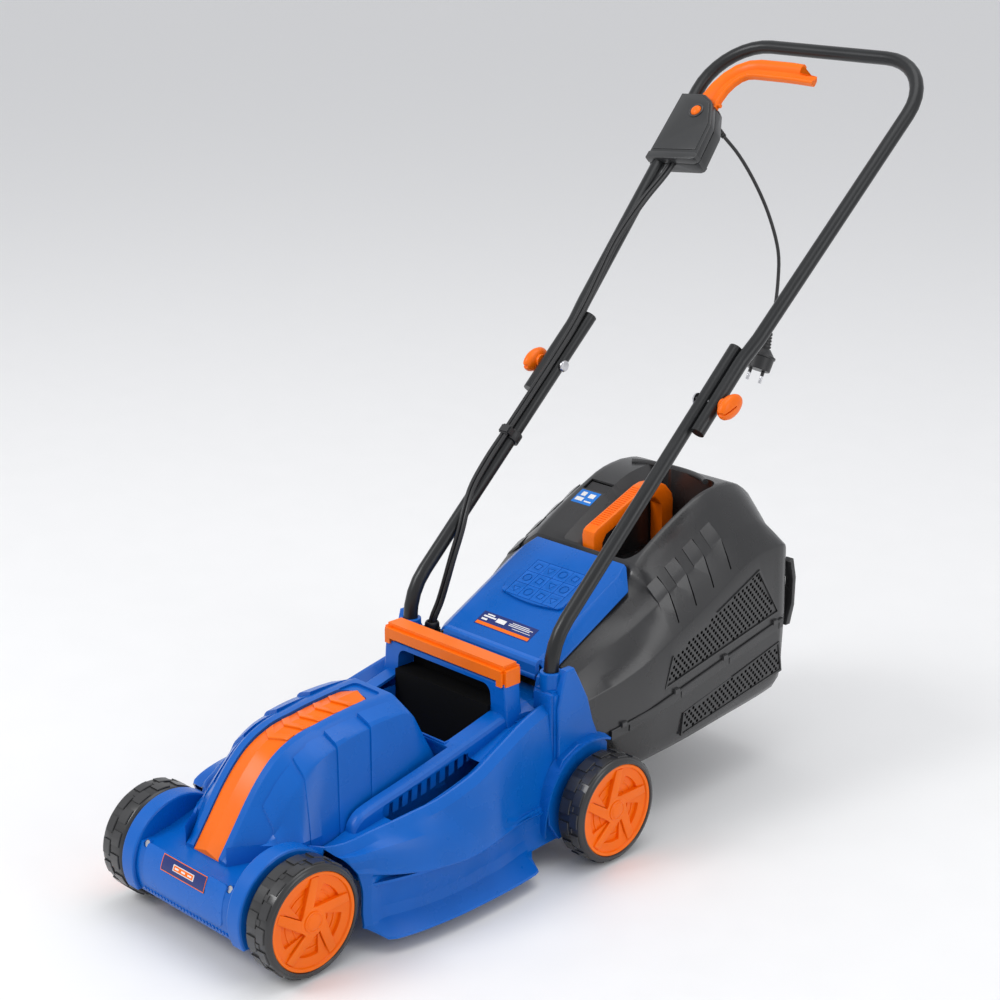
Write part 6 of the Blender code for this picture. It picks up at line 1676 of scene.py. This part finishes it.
def make_cord():
    """The mains cord with its sleeve, plug and pins."""
    start, run = Vector(CORD_ROUTE[0]), (Vector(CORD_ROUTE[1]) - Vector(CORD_ROUTE[0])).normalized()
    profile = [(0.0052, 0.0)]
    for i in range(6):
        h = 0.003 + 0.0042 * i
        r = 0.0052 - 0.0002 * i
        profile += [(r, h), (r - 0.0009, h + 0.0004), (r - 0.0009, h + 0.0018), (r, h + 0.0022)]
    profile += [(0.0038, 0.029), (0.0028, 0.03)]
    sleeve = piece("cord_boot", [(lathe([(0, 0.0), *profile, (0, 0.03)], start, run, 32), RUBBER)],
        "upper_handle", ["cord_sleeve"], "rubber", 40)
    neck = [(0, 0.0), (0.0044, 0.0), (0.005, 0.0008)]
    for i in range(5):
        h, r = 0.002 + 0.0046 * i, 0.0056 + 0.0009 * i
        neck += [(r, h), (r, h + 0.0025), (r - 0.0011, h + 0.0029), (r - 0.0011, h + 0.0042)]
    body = [(0.01, 0.0252), (0.014, 0.0295), (0.0178, 0.0338), (0.0196, 0.035), (0.0209, 0.0352),
        (0.0212, 0.036), (0.0212, 0.0382), (0.0206, 0.039), (0.0197, 0.0394), (0.0194, 0.048),
        (0.019, 0.057), (0.0182, 0.058), (0, 0.058)]
    plug = piece("mains_plug", [(lathe([*neck, *body], PLUG_TOP, PLUG_RUN, 48), DARK)], "upper_handle",
        ["plug_body"], "black_plastic", 35)
    for name, side in (("a", -1), ("b", 1)):
        root = PLUG_TOP + PLUG_RUN * 0.056 + PLUG_ACROSS * side * 0.0095
        shaft = rod_mesh(root, PLUG_RUN, 0.0205, 0.0024, 24, bevel=0.001)
        collar = rod_mesh(root, PLUG_RUN, 0.0095, 0.0026, 24)
        piece("mains_pin_" + name, [(shaft, STEEL), (collar, DARK)], "upper_handle",
                ["plug_pin_" + name], "steel", 35)
    path = smooth_path(CORD_ROUTE, 0.01)
    cord = piece("pigtail_cord", [(tube_mesh(path, 0.0026, 4), RUBBER)], "upper_handle", ["supply_cord"],
        "rubber", 60)


def make_small_parts():
    """The lead clip, the gland with its housing and the fold's bolts."""
    run = Vector((0, 1, LOWER_SLOPE)).normalized()
    centre = lower_point(-LOWER_TUBE_X, 0.595, 0)
    turn = Matrix.Translation(centre) @ Matrix((Vector((1, 0, 0)), run,
            Vector((1, 0, 0)).cross(run))).transposed().to_4x4()
    band = rod_mesh(centre - run * 0.007, run, 0.014, 0.013, 40, bevel=0.001)
    lobe = box_mesh((-0.0095, -0.007, 0.004), (0.0095, 0.007, 0.02), 0.0022)
    lobe.transform(turn)
    room = box_mesh((-0.0073, -0.02, 0.008), (0.0073, 0.02, 0.0177), 0.001)
    room.transform(turn)
    clip = carve(band, [lobe], [rod_mesh(centre - run * 0.02, run, 0.04, TUBE_RADIUS + 0.0004, 32), room])
    piece("lead_clip", [(clip, DARK)], "deck", ["cable_clip"], "black_plastic", 35)
    profile = [(0.0069, 0.0285), (0.008, 0.0288), (0.0088, 0.028), (0.0098, 0.0255), (0.0098, 0.02),
        (0.0092, 0.0192), (0.0092, 0.018), (0.0098, 0.0172), (0.0098, 0.006), (0.0118, 0.0045),
        (0.0125, 0.003), (0.0125, 0.0), (0.0078, 0.0), (0.0078, -0.012), (0.0069, -0.012)]
    gland = lathe(profile, (-0.1215, 0.44, 0.2055), (0, 0, 1), 40)
    piece("lead_gland", [(gland, DARK)], "deck", ["cable_gland"], "black_plastic", 35)
    housing = box_mesh((-0.1395, 0.424, 0.199), (-0.106, 0.454, 0.2265), bevel=0.007, segments=4)
    piece("gland_housing", [(carve(housing, (),
                [rod_mesh((-0.1215, 0.44, 0.19), (0, 0, 1), 0.06, 0.01, 24)]), DARK)], "deck", (),
        "black_plastic", 40)
    for name, side in (("left", 1), ("right", -1)):
        head = [(0, 0), (0.0045, 0.0), (0.0068, 0.0008), (0.008, 0.0022), (0.0082, 0.0036), (0.0082, 0.004),
            (0.003, 0.004), (0.003, 0.056), (0.0026, 0.0565), (0, 0.0565)]
        bolt = lathe(head, (side * 0.1145, *PIVOT), (side, 0, 0), 32)
        piece("fold_bolt_" + name, [(bolt, STEEL)], "upper_handle", ["pivot_bolt_" + name], "steel", 30)


MAKERS = [make_deck, make_carry_grip, make_wheels, make_hood, make_flap, make_box, make_tubes, make_knobs,
    make_switch_box, make_lever, make_cables, make_cord, make_small_parts]

make_stage()

SLOT_OF = {n: NODES[n].data.materials[0].name.split(".")[0] if NODES[n].data.materials else "" for n in NODES}
for node in NODES:
    dress(node, FINISH.get(SLOT_OF[node], DARK))

for maker in MAKERS:
    maker()
